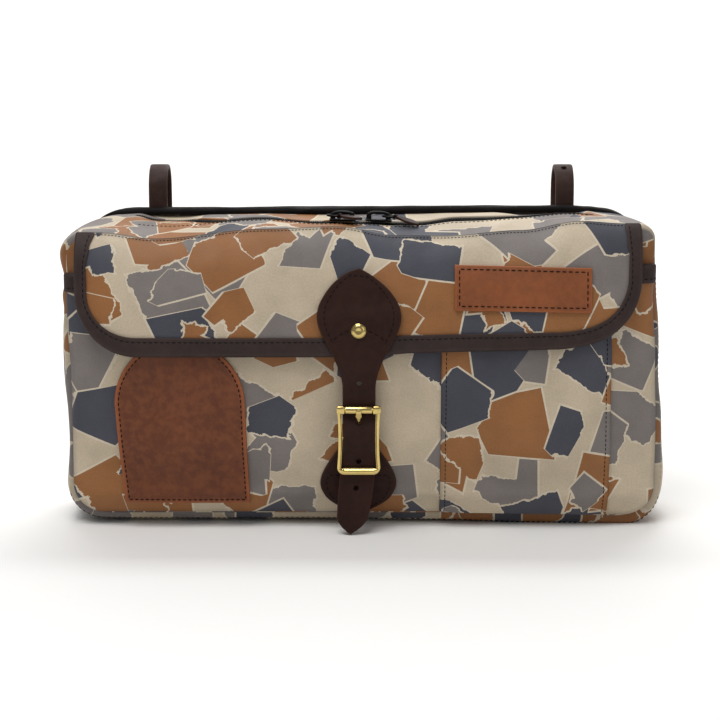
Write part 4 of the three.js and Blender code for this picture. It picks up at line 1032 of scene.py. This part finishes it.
def archRows():                        # heights, middles and half widths up the arch
    z = endRows(archPatch["low"], archPatch["spring"], 50)[:-4]
    share = (z - archPatch["low"]) / (archPatch["spring"] - archPatch["low"])
    turn = np.linspace(0, np.pi / 2, 60)[1:]
    legs = point(z, mix(archPatch["lowMiddle"], archPatch["middle"], share),
                 mix(archPatch["lowHalf"], archPatch["half"], share))
    arch = point(archPatch["spring"] + archPatch["half"] * np.sin(turn), archPatch["middle"],
                 np.maximum(archPatch["half"] * np.cos(turn), archPatch["topHalf"]))
    return np.concatenate([legs, arch]).T


def patchSkin(across, along):          # the flap under its patch, at runs that keep the patch's rows straight
    level = flapSkin(flapPatch["turnAt"], along)[..., 2] - flapPatch["turn"] * (across - flapPatch["turnAt"])
    run = along
    for _ in range(5):                 # each pass mends what is left of the error in height
        run = run + flapSkin(across, run)[..., 2] - level
    return flapSkin(across, run)


def makePatches():                     # an arch on the pocket and a rectangle on the flap
    solid, edge = plateSolid(pocketSkin, archRows(), gap, archPatch["thick"], 70, ends=(True, False),
                             rim=archPatch["rim"])
    addPiece("archPatch", solid, "archLeather", "arch_patch", edge=edge, crease=60)
    left, right = flapPatch["left"], flapPatch["right"]
    rows = point(endRows(flapPatch["start"], flapPatch["end"], 40), (left + right) / 2, (right - left) / 2).T
    solid, edge = plateSolid(patchSkin, rows, gap, flapPatch["thick"], 90)
    addPiece("flapPatch", solid, "patchLeather", "flap_patch", edge=edge, crease=60)


makePatches()


# Closure strap: a spade head on the flap, then a strap woven through the buckle
strap = {"x": -2.5, "start": 28.4, "leaves": 84.5, "leaving": (-9, 3), "step": (48, 62), "thick": 2.5,
         "tipZ": 0.6, "tipX": -8, "leanFrom": 52, "leanPower": 1.2, "leaveZ": 114.1, "soft": 0.9,
         "ends": (6, 12), "tipHalf": 0.25, "punch": (9, 5)}
strapHoles = [(97.9, 1.7, 1.7), (47.9, 1.7, 1.7), (30.4, 1.7, 1.7), (73.4, 1.9, 2)]   # height and half sizes
strapShape = [(0, 0.3), (2.5, 6), (7, 12.8), (17.4, 22.2), (28.6, 26.3), (40.8, 23.6), (47.4, 20), (56, 15.7),
              (64.5, 12.3), (71.8, 10.6), (80, 10.4), (92, 10.3), (98, 10.2), (155, 10.2), (159.5, 9.7),
              (165, 6), (169.6, 0.4)]      # half width by length
strapPath = [(0.6, -61.5), (41.7, -58.5), (62, -63), (81.3, -57.55), (114.1, -62.15)]      # its y by height


def strapSkin(across, length):
    # underside of the strap: on the flap at first, then hanging along its path through the buckle
    across, length = np.broadcast_arrays(np.asarray(across, float), np.asarray(length, float))
    run = strap["start"] + length
    step = gap + (binding["gap"] + binding["thick"]) * ramp(run, *strap["step"])
    onFlap = raised(flapSkin, strap["x"] + across, run, step)
    z = strap["leaveZ"] - (run - strap["leaves"])
    lean = np.maximum(strap["leanFrom"] - z, 0) / (strap["leanFrom"] - strap["tipZ"])
    x = mix(strap["x"], strap["tipX"], lean ** strap["leanPower"]) + across
    hanging = point(x, eased(strapPath, z) + strap["thick"] / 2, z)
    return mix(onFlap, hanging, ramp(run - strap["leaves"], *strap["leaving"])[..., None])


def strapLength(z):                    # length along the strap at a height
    return strap["leaves"] - strap["start"] + strap["leaveZ"] - z


def punched(piece, cutters):           # cuts closed bodies out of a piece
    tool = addObject("punch", meshOf("punch", *joined(*cutters)))
    cut = piece.modifiers.new("punch", "BOOLEAN")
    cut.object, cut.operation, cut.solver = tool, "DIFFERENCE", "EXACT"
    bpy.context.view_layer.update()
    made = bpy.data.meshes.new_from_object(piece.evaluated_get(bpy.context.evaluated_depsgraph_get()))
    piece.modifiers.clear()
    piece.data = made
    bpy.data.objects.remove(tool)


def makeStrap():                       # the outline laid along the strap's path, then punched
    tip, (head, foot) = strapLength(strap["tipZ"]), strap["ends"]
    length = np.unique(np.concatenate([
        np.linspace(0, head, 14), np.linspace(head, tip - foot, 150), np.linspace(tip - foot, tip, 24)]))
    rows = point(length, 0, np.maximum(flowing(strapShape, length), strap["tipHalf"])).T
    solid, edge = plateSolid(strapSkin, rows, 0.0, strap["thick"], 44, strap["soft"], (False, False))
    piece = addPiece("closureStrap", solid, "strapLeather", "closure_strap", edge=edge, crease=50)
    cutters, turn, (front, back) = [], around(24), strap["punch"]
    for z, wide, long in strapHoles:
        ring = strapSkin(0.0, strapLength(z)) + point(wide * np.cos(turn), 0, long * np.sin(turn))
        cutters.append(loft(np.stack([ring - (0, front, 0), ring + (0, back, 0)])))
    punched(piece, cutters)


makeStrap()


# Brass roller buckle with its set-back centre bar, prong and leather base
buckle = {"x": -2.7, "y": -62, "barY": -57.6, "barZ": 62, "half": 13.6, "low": -22.1, "waist": 1.6,
          "rail": 2.4, "lowBar": 4.2, "widens": (4, 1.6), "lowCorner": 4.6, "thick": 3.2, "barRadius": 1.4,
          "barIn": 0.9, "pinIn": 1.2, "pinRadius": 1.25, "rollerZ": 19.3, "rollerRadius": 2.7,
          "rollerHalf": 8.4, "rollerBore": 1.6, "earHalf": 2.75, "earDeep": 1.85, "earReach": 13.9,
          "earClear": 0.35, "rollerEnd": [(0.4, 0), (0.1, 0.15), (0, 0.5)], "eyeBore": 1.75,
          "eye": [(2.9, 1.2), (3.1, 0.9)], "lug": (0.8, 1.7)}
railSection = [(1, 0.9), (1, -0.5), (0.95, -0.85), (0.75, -1), (-0.2, -1), (-0.4, -0.9), (-0.66, -0.5),
               (-0.74, -0.45), (-0.94, -0.45), (-1, -0.35), (-1, 0.9), (-0.8, 1), (0.8, 1)]
earShape = [(0, 0.72), (0.12, 0.86), (0.5, 0.97), (1, 1), (2, 1), (3, 1), (4, 1), (4.5, 0.97), (4.88, 0.86),
            (5, 0.7)]      # its size by place
prongPath = [(-58, 63.6), (-58.4, 66.5), (-59.1, 69.5), (-62.6, 75), (-65.6, 79.4), (-66.4, 81),
             (-66.6, 82.6)]
prongHalf = [(0, 1.0), (0.4, 0.9), (0.5, 0.9), (0.62, 1.8), (0.72, 2.25), (0.85, 1.9), (0.93, 1.75), (1, 1.3)]
prongThick = [(0.86, 1.0), (1, 0.35)]
bucklePlace = np.array([buckle["x"], buckle["y"], buckle["barZ"]])
rollerPlace = bucklePlace + (0, 0, buckle["rollerZ"])
barBack = np.array([0, buckle["barY"] - buckle["y"], 0])
alongX = (1.0, 0, 0)


def buckleRails():                     # waisted side rails and the low bar, as one bent bar
    half, low, corner = buckle["half"], buckle["low"], buckle["lowCorner"]
    mid = buckle["rail"] / 2
    z = np.linspace(buckle["rollerZ"], low + corner, 44)
    bow = 1 - (2 * (z - z[-1]) / (z[0] - z[-1]) - 1) ** 2
    turn = np.radians(np.linspace(0, -90, 20))[1:]
    right = np.concatenate([
        point(half - mid - buckle["waist"] / 2 * bow, z),
        (half - corner, low + corner) + (corner - mid) * point(np.cos(turn), np.sin(turn)),
        point(np.linspace(half - corner, 0, 20)[1:], low + mid),
    ])
    x, z = np.concatenate([right, (right * (-1, 1))[::-1][1:]]).T
    path = point(x, 0, z)
    ahead = tangents(path)
    out = point(-ahead[:, 2], 0, ahead[:, 0])
    wide = mix(mid, buckle["lowBar"] / 2, ramp(z - low, *buckle["widens"]))
    path = path + out * (mid - wide)[:, None] + bucklePlace
    return loft(carried(path, np.array(railSection).T, wide, buckle["thick"] / 2, out, (0, 1.0, 0)))


def rod(radius, reach, centre, ends=0.35):      # a round bar along x with bevelled ends
    profile = [(0.01, -reach), (radius - ends, -reach), (radius, ends - reach), (radius, reach - ends),
               (radius - ends, reach), (0.01, reach)]
    return turned(profile, centre, alongX, 28)


def makeBuckleFrame():                 # rails, two rods across, and an ear and a lug at each end
    barReach = buckle["half"] - buckle["waist"] / 2 - buckle["barIn"]
    solids = [buckleRails(), rod(buckle["pinRadius"], buckle["half"] - buckle["pinIn"], rollerPlace),
              rod(buckle["barRadius"], barReach, bucklePlace + barBack)]
    cosine, sine = roundedSection(28, 3.6)
    reach, size = np.array(earShape).T[:, :, None]
    reach = reach / earShape[-1][0]
    ears, lugs = [], []
    for side in (-1, 1):
        x = side * mix(buckle["rollerHalf"] + buckle["earClear"], buckle["earReach"], reach)
        ear = point(x, buckle["earDeep"] * size * cosine, buckle["earHalf"] * size * sine)
        spine = bucklePlace + (side * barReach, 0, 0) + np.linspace((0, 0, 0), barBack, 8)
        ears.append(loft(rollerPlace + ear))
        lugs.append(tube(spine, alongX, (0, 0, 1.0), *buckle["lug"]))
    addPiece("buckleFrame", joined(*solids, *ears, *lugs), "brass", "buckle_frame")


def makeRoller():                      # a hollow ring with rounded ends
    radius, reach = buckle["rollerRadius"], buckle["rollerHalf"]
    corners = [(radius - less, reach - short) for less, short in buckle["rollerEnd"]]
    roller = hoop(buckle["rollerBore"], corners, rollerPlace, alongX, 48)
    addPiece("buckleRoller", roller, "brass", "buckle_roller")


def makeProng():                       # an ellipse carried along a bent path, with an eye round the bar
    share = np.linspace(0, 1, 50)
    y, z = through(prongPath, 50).T
    path = point(buckle["x"], y, z)
    half, thick = eased(prongHalf, share), eased(prongThick, share)
    shaft = tube(path, alongX, upright(tangents(path)), half, thick, 18)
    eye = hoop(buckle["eyeBore"], buckle["eye"], bucklePlace + barBack, alongX, 28)
    addPiece("buckleProng", joined(shaft, eye), "brass", "buckle_prong")


makeBuckleFrame()
makeRoller()
makeProng()

chape = {"x": -3, "thick": 2, "sleeveOuter": 3.75, "sleeveInner": 1.75, "sleeveHalf": 9.8, "bevel": 0.4,
         "stitchIn": 4.2, "stitched": (14, 37)}
chapeShape = [(9.6, 1.0), (12, 6.5), (16, 13), (20, 18.3), (25, 22.5), (31, 24.3), (37, 23.2), (43, 20.4),
              (52, 14.5), (58, 10.6), (63, 10)]      # half width by height


def makeChape():                       # a leaf laid on the pocket, with a sleeve round the bar
    low, soon, high = chapeShape[0][0], chapeShape[1][0], chapeShape[-1][0]
    z = np.unique(np.concatenate([np.linspace(low, soon, 12), np.linspace(soon, high, 70)]))
    rows = point(z, chape["x"], flowing(chapeShape, z)).T
    plate, edge = plateSolid(pocketSkin, rows, gap, chape["thick"], 44, ends=(False, True))
    outer, half, bevel = chape["sleeveOuter"], chape["sleeveHalf"], chape["bevel"]
    corners = [(outer - bevel, half), (outer, half - bevel)]
    sleeve = hoop(chape["sleeveInner"], corners, bucklePlace + barBack, alongX, 30)
    edge = np.concatenate([edge, np.zeros(len(sleeve[0]))])
    addPiece("buckleBase", joined(plate, sleeve), "strapLeather", "buckle_chape", edge=edge, crease=60)


makeChape()


# Domed brass heads
dome = {"rim": 0.15, "rimShare": 0.3, "crownIn": 0.2, "crownShare": 0.65, "dimpleShare": 0.38, "tip": 0.01}


def domeProfile(radius, height, dimple=0.0):  # a quarter ellipse on a rim, less a bell at its middle
    turn = np.linspace(0, np.pi / 2, 24)
    across = (radius - dome["crownIn"]) * np.cos(turn)
    up = height * (1 - dome["crownShare"]) + height * dome["crownShare"] * np.sin(turn)
    crown = point(across, up - dimple * bell(across, dome["dimpleShare"] * radius))
    crown[-1, 0] = dome["tip"]
    rim = dome["rim"]
    return [(dome["tip"], 0), (radius - rim, 0), (radius, rim), (radius, height * dome["rimShare"]), *crown]


rivet = {"run": 67, "radius": 4.6, "height": 2.6, "dimple": 0.7, "sunk": 0.1}
rivetLength = rivet["run"] - strap["start"]


def makeRivet():                       # a dome turned about the strap's normal
    seat = raised(strapSkin, 0.0, rivetLength, strap["thick"] - rivet["sunk"])
    profile = domeProfile(rivet["radius"], rivet["height"], rivet["dimple"])
    head = turned(profile, seat, facing(strapSkin, 0.0, rivetLength), 48)
    addPiece("closureRivet", head, "brass", "closure_rivet")


makeRivet()


# Thwart loops: a strap up the back, over in a round arch, down and onto its own lower end
thwart = {"halfWidth": 6.2, "thick": 3, "seatY": 39.2, "low": 92, "archZ": 211, "archRadius": 15,
          "rivetZ": 150, "studZ": 108, "holeAt": 62, "holeRadius": 2, "capRadius": 4, "capHeight": 3,
          "edgePower": 10, "punch": 5}
thwartRear = [(70.7, 196), (67, 172), (54, 145), (46, 127), (44.1, 114), (44.1, 100), (44.1, 84)]
thwartLoops = {"Left": (-137.6, False), "Right": (135.6, True)}   # place, and whether it has a punched hole
thwartMiddle = thwart["seatY"] + thwart["thick"] / 2


def archAt(turn):                      # the (y, z) of the strap's middle line round the arch
    radius = thwart["archRadius"]
    return point(thwartMiddle + radius * (1 - np.cos(turn)), thwart["archZ"] + radius * np.sin(turn))


def makeLoop(side, x, holed):          # a soft square section carried up, round the arch and down the back
    rise = point(thwartMiddle, np.linspace(thwart["low"], thwart["archZ"], 8))
    y, z = through(np.concatenate([rise, archAt(np.linspace(0, np.pi, 12)[1:]), thwartRear]), 190).T
    path = point(x, y, z)
    section = roundedSection(28, 6)
    rings = carried(path, section, thwart["halfWidth"], thwart["thick"] / 2, alongX, upright(tangents(path)))
    edge = np.broadcast_to(np.abs(section[0]) ** thwart["edgePower"], rings.shape[:2])
    end = side.lower()
    node = "thwart_strap_" + end
    piece = addPiece("thwartStrap" + side, loft(rings), "loopLeather", node, edge=edge, crease=55)
    if holed:
        lean, radius = math.radians(thwart["holeAt"]), thwart["holeRadius"]
        out = (0, -math.cos(lean), math.sin(lean))
        profile = [(radius, -thwart["punch"]), (radius, thwart["punch"])]
        punched(piece, [turned(profile, (x, *archAt(lean)), out, 24)])
    cap = domeProfile(thwart["capRadius"], thwart["capHeight"])
    capY = thwart["seatY"] + thwart["thick"]
    caps = {"Rivet": (capY, thwart["rivetZ"]), "Stud": (capY + thwart["thick"] + gap, thwart["studZ"])}
    for name, (y, z) in caps.items():
        solid = turned(cap, (x, y, z), (0, 1, 0), 32)
        addPiece("thwart" + name + side, solid, "brass", "thwart_" + name.lower() + "_" + end)


for side, (x, holed) in thwartLoops.items():
    makeLoop(side, x, holed)
print("leather and brass made")


# Zip: tape, a coil of fine turns, and two sliders with wire links and leather pulls
zipper = {"tapeShare": 0.19, "tapeDrop": 1.9, "tapeRise": 0.8, "tapeThick": 0.9, "tapeHalf": 149, "half": 148,
          "coilHalf": 2.3, "coilHeight": 0.42, "coilDrop": 0.6, "turn": 1.5, "wire": 0.38,
          "slotSpare": (0.005, -0.02)}


def makeZipTape():                     # the top's skin, lowered in the slot and tucked under the bands
    x = np.linspace(-zipper["tapeHalf"], zipper["tapeHalf"], 160)[:, None]
    away = zipper["tapeShare"] * np.linspace(-1, 1, 40)[None]
    inSlot = ramp(np.abs(away), *(slotHalf(x) + spare for spare in zipper["slotSpare"]))
    outer = topSkin(*np.broadcast_arrays(x, zipShare(x) + away))
    outer[..., 2] -= mix(zipper["tapeDrop"], zipper["tapeRise"], inSlot)
    addPiece("zipTape", shell(outer, outer - point(0, 0, zipper["tapeThick"])), "zipTape", "zip_tape")


def makeZipCoil():                     # a wire wound round the zip's line in a flat helix
    turns = 2 * zipper["half"] / zipper["turn"]
    at = np.linspace(0, 1, int(turns * 12))
    turn = at * turns * 2 * np.pi
    x = mix(-zipper["half"], zipper["half"], at)
    path = topSkin(x, zipShare(x) + zipper["coilHalf"] * np.cos(turn) / depth)
    path[:, 2] += zipper["coilHeight"] * np.sin(turn) - zipper["coilDrop"]
    ahead = tangents(path)
    up = unit(np.cross(ahead, alongX))
    addPiece("zipCoil", tube(path, np.cross(up, ahead), up, zipper["wire"], count=6), "zipCoil", "zip_coil")


makeZipTape()
makeZipCoil()

slider = {"length": 8.6, "thick": 1.6, "seat": 0.6, "crownHalf": 8, "leg": 3.4, "legs": 1.8, "crownRise": 3.4,
          "crownWire": 2, "crownWide": 2.6, "sunk": 0.4, "endRound": 2, "endThin": 0.6,
          "crownPowers": (0.8, 0.9)}
sliderShape = [(-8.6, 2.8), (-7.2, 3.1), (0, 3.8), (4, 4.2), (7.4, 3.7), (8.6, 3.2)]   # half width by length
link = {"ring": 3.4, "wire": 0.7, "stretch": 1.35, "height": 3.5, "reach": 0.75}
linkFar = link["ring"] * link["stretch"]
pull = {"thick": 1.6, "sleeve": 1.7, "bore": 1.1, "sleeveHalf": 1.1, "overlap": 0.5, "length": 16.5,
        "soft": 0.5, "droopPower": 1.2, "edge": 0.6, "tipHalf": 0.3, "under": 0.5}
pullShape = [(0, 1.2), (3, 3.2), (7, 4.5), (11, 4.3), (14.5, 2.8), (16.5, 0.6)]      # half width by length
sliders = {      # place along the zip, which foot the pull hangs from, its turn in degrees and its droop
    "Left": (-13.3, -1, -36, 0.4), "Right": (10.1, 1, -32, 3.6)}


def moved(solid, first, second, angle, shift):
    # a solid turned by an angle in the plane of two of its axes, then shifted
    points = solid[0].copy()
    a, b = solid[0][:, first], solid[0][:, second]
    points[:, first] = a * math.cos(angle) - b * math.sin(angle)
    points[:, second] = a * math.sin(angle) + b * math.cos(angle)
    return points + shift, *solid[1:]


def sliderPlate():                     # a soft square section, sized along the plate
    along = np.linspace(-1, 1, 30)[:, None] * slider["length"]
    cosine, sine = roundedSection(24, 5)
    high = mix(slider["endThin"], 1, roll(slider["length"] - np.abs(along), slider["endRound"]))
    return loft(point(along, flowing(sliderShape, along) * cosine, slider["thick"] / 2 * (1 + high * sine)))


def sliderCrown():                     # a flat-topped arch of wire on two stout legs
    turn = np.linspace(np.pi, 0, 26)
    thick = mix(slider["leg"], slider["crownWire"], ease(np.sin(turn)))
    cosine, (wide, high) = np.cos(turn), slider["crownPowers"]
    arch = point((slider["crownHalf"] - thick / 2) * np.sign(cosine) * np.abs(cosine) ** wide, 0,
                 slider["thick"] + slider["legs"] + (slider["crownRise"] - thick / 2) * np.sin(turn) ** high)
    foot = (0, 0, slider["legs"] + slider["sunk"])
    thick = np.concatenate([thick[:1], thick, thick[-1:]])
    arch = np.concatenate([arch[:1] - foot, arch, arch[-1:] - foot])
    up = np.cross(tangents(arch), (0, 1.0, 0))
    return loft(carried(arch, roundedSection(16, 3), slider["crownWide"] / 2, thick / 2, (0, 1.0, 0), up))


def linkRing():                        # a round wire carried round an ellipse
    turn = around(40)
    away = point(linkFar * np.cos(turn), link["ring"] * np.sin(turn), 0)
    return tube(away + (link["reach"], 0, link["height"]), unit(away), (0, 0, 1.0), link["wire"], closed=True)


def pullTab(droop):                    # a leaf of leather with a sleeve round the link's far bar
    run = np.linspace(0, pull["length"], 40)[:, None]
    half = np.maximum(flowing(pullShape, run), pull["tipHalf"])
    across = half * crowded(20)
    inset = half - np.abs(across)
    rounding = pull["soft"] * (1 - roll(inset, pull["soft"]))
    low = link["height"] - pull["thick"] / 2 - droop * (run / pull["length"]) ** pull["droopPower"]
    farBar = link["reach"] + linkFar
    length = farBar + pull["sleeve"] - pull["overlap"] + run
    face, under = low + pull["thick"] - rounding, low + rounding * pull["under"]
    tab = shell(point(length, across, face), point(length, across, under))
    corners = [(pull["sleeve"], pull["sleeveHalf"])]
    sleeve = hoop(pull["bore"], corners, (farBar, 0, link["height"]), (0, 1, 0), 24)
    return joined(tab, sleeve), np.concatenate([twice(bell(inset, pull["edge"])), np.zeros(len(sleeve[0]))])


def makeSlider(side, x, foot, swing, droop):  # plate and crown on the zip, link and pull swung from a foot
    ends = topSkin(x + slider["length"] * np.array([-1, 1]), 0.5)
    rise = ends[1] - ends[0]
    seat = (x, 0, max(topSkin(x, 0.5)[2], ends[:, 2].mean()) + slider["seat"])
    footX = foot * (slider["crownHalf"] - slider["leg"] / 2)

    def laid(solid):                   # from the slider's own place to the top of the bag
        return moved(solid, 0, 2, math.atan2(rise[2], rise[0]), seat)

    def swung(solid):                  # about one foot of the crown
        return laid(moved(solid, 0, 1, math.radians(swing), (footX, 0, 0)))

    end = side.lower()
    solid = joined(laid(sliderPlate()), laid(sliderCrown()))
    addPiece("zipSlider" + side, solid, "blackMetal", "zip_slider_" + end)
    addPiece("zipLink" + side, swung(linkRing()), "blackMetal", "zip_link_" + end)
    tab, edge = pullTab(droop)
    addPiece("zipPull" + side, swung(tab), "strapLeather", "zip_pull_" + end, edge=edge)


for side, placed in sliders.items():
    makeSlider(side, *placed)
print("zip made")


# Stitches: short raised threads laid end to end along rows of points, their ends dipping into the cloth
thread = {"radius": 0.26, "share": 0.74, "rise": 0.24, "sink": 0.1, "steps": 6, "around": 6, "lowest": 0.02,
          "endThin": 0.06, "brown": 1.4}
pitch = {"binding": 3.6, "slip": 2.9, "spade": 3.6, "chape": 3.6, "flapTop": 2.2, "band": 2.8, "gusset": 3.4,
         "arch": 3.4, "patch": 3.9}      # length of a stitch and the space after it
seams = {"bandHalf": 146, "bandIn": 0.045, "bandLimit": 0.4, "flapTop": (-177, 171), "flapTopRun": 1.6,
         "spade": (5, 46), "spadeIn": 4.6, "crossBack": 1, "crossBow": 7, "rivetClear": 0.6, "slipIn": (1, 2),
         "slipSink": 0.3, "gussetLift": 0.1, "frontSeam": 0.05, "backSeam": 0.95, "paleSeam": 0.045,
         "paleHeights": (30, 165), "sideways": 0.9, "downwards": -0.3, "flapFrom": 3, "spadeGap": 0.3}


def stitchesAlong(rows, size=1.0):     # one small bowed tube per stitch, placed along each row
    solids, faces, start = [], [], 0
    steps, count = thread["steps"], thread["around"]
    t = np.linspace(-1, 1, steps)
    turn = around(count)[:, None]
    radius = size * thread["radius"] * np.sqrt(np.maximum(1 - t ** 4, thread["endThin"]))
    rise = size * thread["rise"] * (1 - t ** 2) - thread["sink"]
    index = np.arange(steps * count).reshape(steps, count)
    ends = np.array([[0, 5, 4, 1], [1, 4, 3, 2]])      # two faces close each six-sided end
    one = np.concatenate([quadsOf(np.concatenate([index, index[:, :1]], 1)), ends, index[-1][ends[:, ::-1]]])
    for path, normal, spacing in rows:
        far = distances(path)
        number = max(int(far[-1] / spacing), 1)
        at = (np.arange(number) + 0.5) * far[-1] / number
        centre, up, ahead = (np.stack([np.interp(at, far, column) for column in grid.T], -1)
                             for grid in (path, normal, tangents(path)))
        up, ahead = unit(up)[:, None], unit(ahead)[:, None]
        reach = thread["share"] * far[-1] / number / 2
        spine = centre[:, None] + ahead * (t * reach)[:, None] + up * rise[:, None]
        ring = np.cos(turn) * up + np.sin(turn) * np.cross(ahead, up)
        points = spine[:, :, None] + radius[:, None, None] * ring[:, None]
        points[..., 2] = np.maximum(points[..., 2], thread["lowest"])
        solids.append(points.reshape(-1, 3))
        faces.append((one + (np.arange(number) * steps * count)[:, None, None]).reshape(-1, 4) + start)
        start += number * steps * count
    return np.concatenate(solids), np.concatenate(faces), []


def rowOn(skin, path, lift, spacing):  # a row of stitches on a surface of two parameters
    a, b = np.array(path, float).T
    return raised(skin, a, b, lift), facing(skin, a, b), spacing


def bandRow():                         # along the zip on the front top band
    x = np.linspace(-seams["bandHalf"], seams["bandHalf"], 400)
    path = topSkin(x, np.minimum(slotEdge(x, -1) - seams["bandIn"], seams["bandLimit"]))
    return path, np.tile((0, 0, 1.0), (400, 1)), pitch["band"]


def gussetRow(share, kept):            # beside a seam of the gusset, where the outline is kept
    path, _ = gussetSkin(np.array([share]))
    out = point(frontOutline[:, 2], 0, frontOutline[:, 3])
    return (path[:, 0] + out * seams["gussetLift"])[kept], out[kept], pitch["gusset"]


def archStitches():                    # the arch's outline, drawn in
    inset, turn = archPatch["stitchIn"], np.linspace(0, np.pi, 80)
    radius, low = archPatch["half"] - inset, archPatch["low"] + inset
    reach = archPatch["lowHalf"] - inset
    right, left = (archPatch["lowMiddle"] + reach, low), (archPatch["lowMiddle"] - reach, low)
    arch = point(archPatch["middle"] + radius * np.cos(turn), archPatch["spring"] + radius * np.sin(turn))
    return evenly(np.concatenate([[right], arch, [left], [right]]), 700)


def flapPatchStitches():               # the rectangle's outline, drawn in
    inset = flapPatch["stitchIn"]
    left, right = flapPatch["left"] + inset, flapPatch["right"] - inset
    start, end = flapPatch["start"] + inset, flapPatch["end"] - inset
    return evenly(np.array([(left, start), (right, start), (right, end), (left, end), (left, start)]), 600)


def bothSides(middle, half, along):    # down one side of an outline and back up the other
    return np.concatenate([point(middle - half, along)[::-1], point(middle + half, along)])


def spadeStitches():                   # inside the spade head, and a curved row across it at the rivet
    length = np.linspace(*seams["spade"], 120)
    half = flowing(strapShape, length) - seams["spadeIn"]
    edge = bothSides(0, half, length)
    across = np.linspace(-half[-1], half[-1], 60)
    cross = point(across, rivetLength - seams["crossBack"] + seams["crossBow"] * (across / half[-1]) ** 2)
    clear = rivet["radius"] + seams["rivetClear"]
    edge = edge[np.abs(edge[:, 0]) > seams["spadeGap"]]
    return evenly(edge, 400), cross[across < -clear], cross[across > clear]


def chapeStitches():                   # round the low end of the buckle's base, and straight across it
    z = np.linspace(*chape["stitched"], 100)
    half = flowing(chapeShape, z) - chape["stitchIn"]
    across = chape["x"] + np.linspace(-half[-1], half[-1], 60)
    return evenly(bothSides(chape["x"], half, z), 300), point(across, z[-1])


def boundRow(skin, edge):              # along a binding, inside its edge
    a, b, inA, inB, width = edge
    inset = binding["stitchShare"] * width
    path = point(a + inA * inset, b + inB * inset)
    return rowOn(skin, path, binding["gap"] + binding["thick"], pitch["binding"])


def makeStitches():                    # every row, in three colours of thread
    _, z, outX, outZ = frontOutline.T
    slipZ = np.linspace(slip["low"] + seams["slipIn"][0], slip["high"] - seams["slipIn"][1], 200)
    slipLift = gap + slip["thickness"] - seams["slipSink"]
    flapTop = point(np.linspace(*seams["flapTop"], 400), seams["flapTopRun"])
    dark = [boundRow(hemSkin, flapEdge(seams["flapFrom"])), boundRow(pocketSkin, pocketEdge())]
    dark += [rowOn(pocketSkin, point(x, slipZ), slipLift, pitch["slip"])
             for x in (slip["left"] + slip["hem"], slip["right"] - slip["hem"])]
    dark += [rowOn(strapSkin, path, strap["thick"], pitch["spade"]) for path in spadeStitches()]
    dark += [rowOn(pocketSkin, path, gap + chape["thick"], pitch["chape"]) for path in chapeStitches()]
    dark += [rowOn(hemSkin, flapTop, 0.0, pitch["flapTop"]), bandRow(),
             gussetRow(seams["frontSeam"], outZ < seams["downwards"]),
             gussetRow(seams["backSeam"], slice(None))]
    addPiece("darkStitches", stitchesAlong(dark), "darkThread")
    brown = [
        rowOn(pocketSkin, archStitches(), gap + archPatch["thick"], pitch["arch"]),
        rowOn(patchSkin, flapPatchStitches(), gap + flapPatch["thick"], pitch["patch"]),
    ]
    addPiece("brownStitches", stitchesAlong(brown, thread["brown"]), "brownThread")
    low, high = seams["paleHeights"]
    pale = [gussetRow(seams["paleSeam"], (outX > seams["sideways"]) & (z > low) & (z < high))]
    addPiece("paleStitches", stitchesAlong(pale), "paleThread")


makeStitches()
print("stitches made")


# Pale floor that sweeps up behind, and soft studio light, in metres and watts
studio = {"floor": (240, 239, 237), "half": 4.0, "front": -4.0, "back": 1.9, "bend": 0.9, "top": 3.6,
          "rough": 0.7, "world": 0.3}
lamps = {              # place, where it points, size and power
    "keyLight": ((-0.35, -0.75, 1.7), (0, -0.03, 0.1), 1.0, 20),
    "fillLight": ((1.1, -1.3, 0.8), (0, 0, 0.1), 1.0, 2.5),
    "backLight": ((0.3, 0.9, 1.3), (0, 0, 0.15), 0.8, 5),
    "sweepLight": ((0, 1.1, 2.4), (0, 2.6, 0.9), 1.6, 60),
}


def makeSweep():                       # a flat, a quarter circle and an upright, carried sideways
    turn = np.linspace(-np.pi / 2, 0, 20)
    flat = point(np.linspace(studio["front"], studio["back"], 12)[:-1], 0)
    bend = point(studio["back"] + studio["bend"] * np.cos(turn), studio["bend"] * (1 + np.sin(turn)))
    line = np.concatenate([flat, bend, [(studio["back"] + studio["bend"], studio["top"])]])
    points = point(np.array([[-studio["half"], studio["half"]]]), line[:, :1], line[:, 1:])
    mesh = meshOf("floor", points.reshape(-1, 3) / mm, quadsOf(np.arange(len(line) * 2).reshape(-1, 2)), [])
    mesh.polygons.foreach_set("use_smooth", np.ones(len(mesh.polygons), bool))
    mesh.materials.append(Look("paleFloor").surface(paint(studio["floor"]), studio["rough"]))
    addObject("floor", mesh)


def makeLamp(name, place, aim, size, power):  # an area light turned towards its aim
    data = bpy.data.lights.new(name, "AREA")
    data.size, data.energy = size, power
    lamp = addObject(name, data)
    lamp.location = place
    x, y, z = np.array(place) - np.array(aim)
    lamp.rotation_euler = (math.atan2(math.hypot(x, y), z), 0, math.atan2(x, -y))


makeSweep()
for name, lamp in lamps.items():
    makeLamp(name, *lamp)
world = bpy.data.worlds.new("studio")
world.use_nodes = True
world.node_tree.nodes["Background"].inputs[0].default_value = (1, 1, 1, 1)
world.node_tree.nodes["Background"].inputs[1].default_value = studio["world"]
bpy.context.scene.world = world
bpy.context.scene.view_settings.view_transform = "Standard"
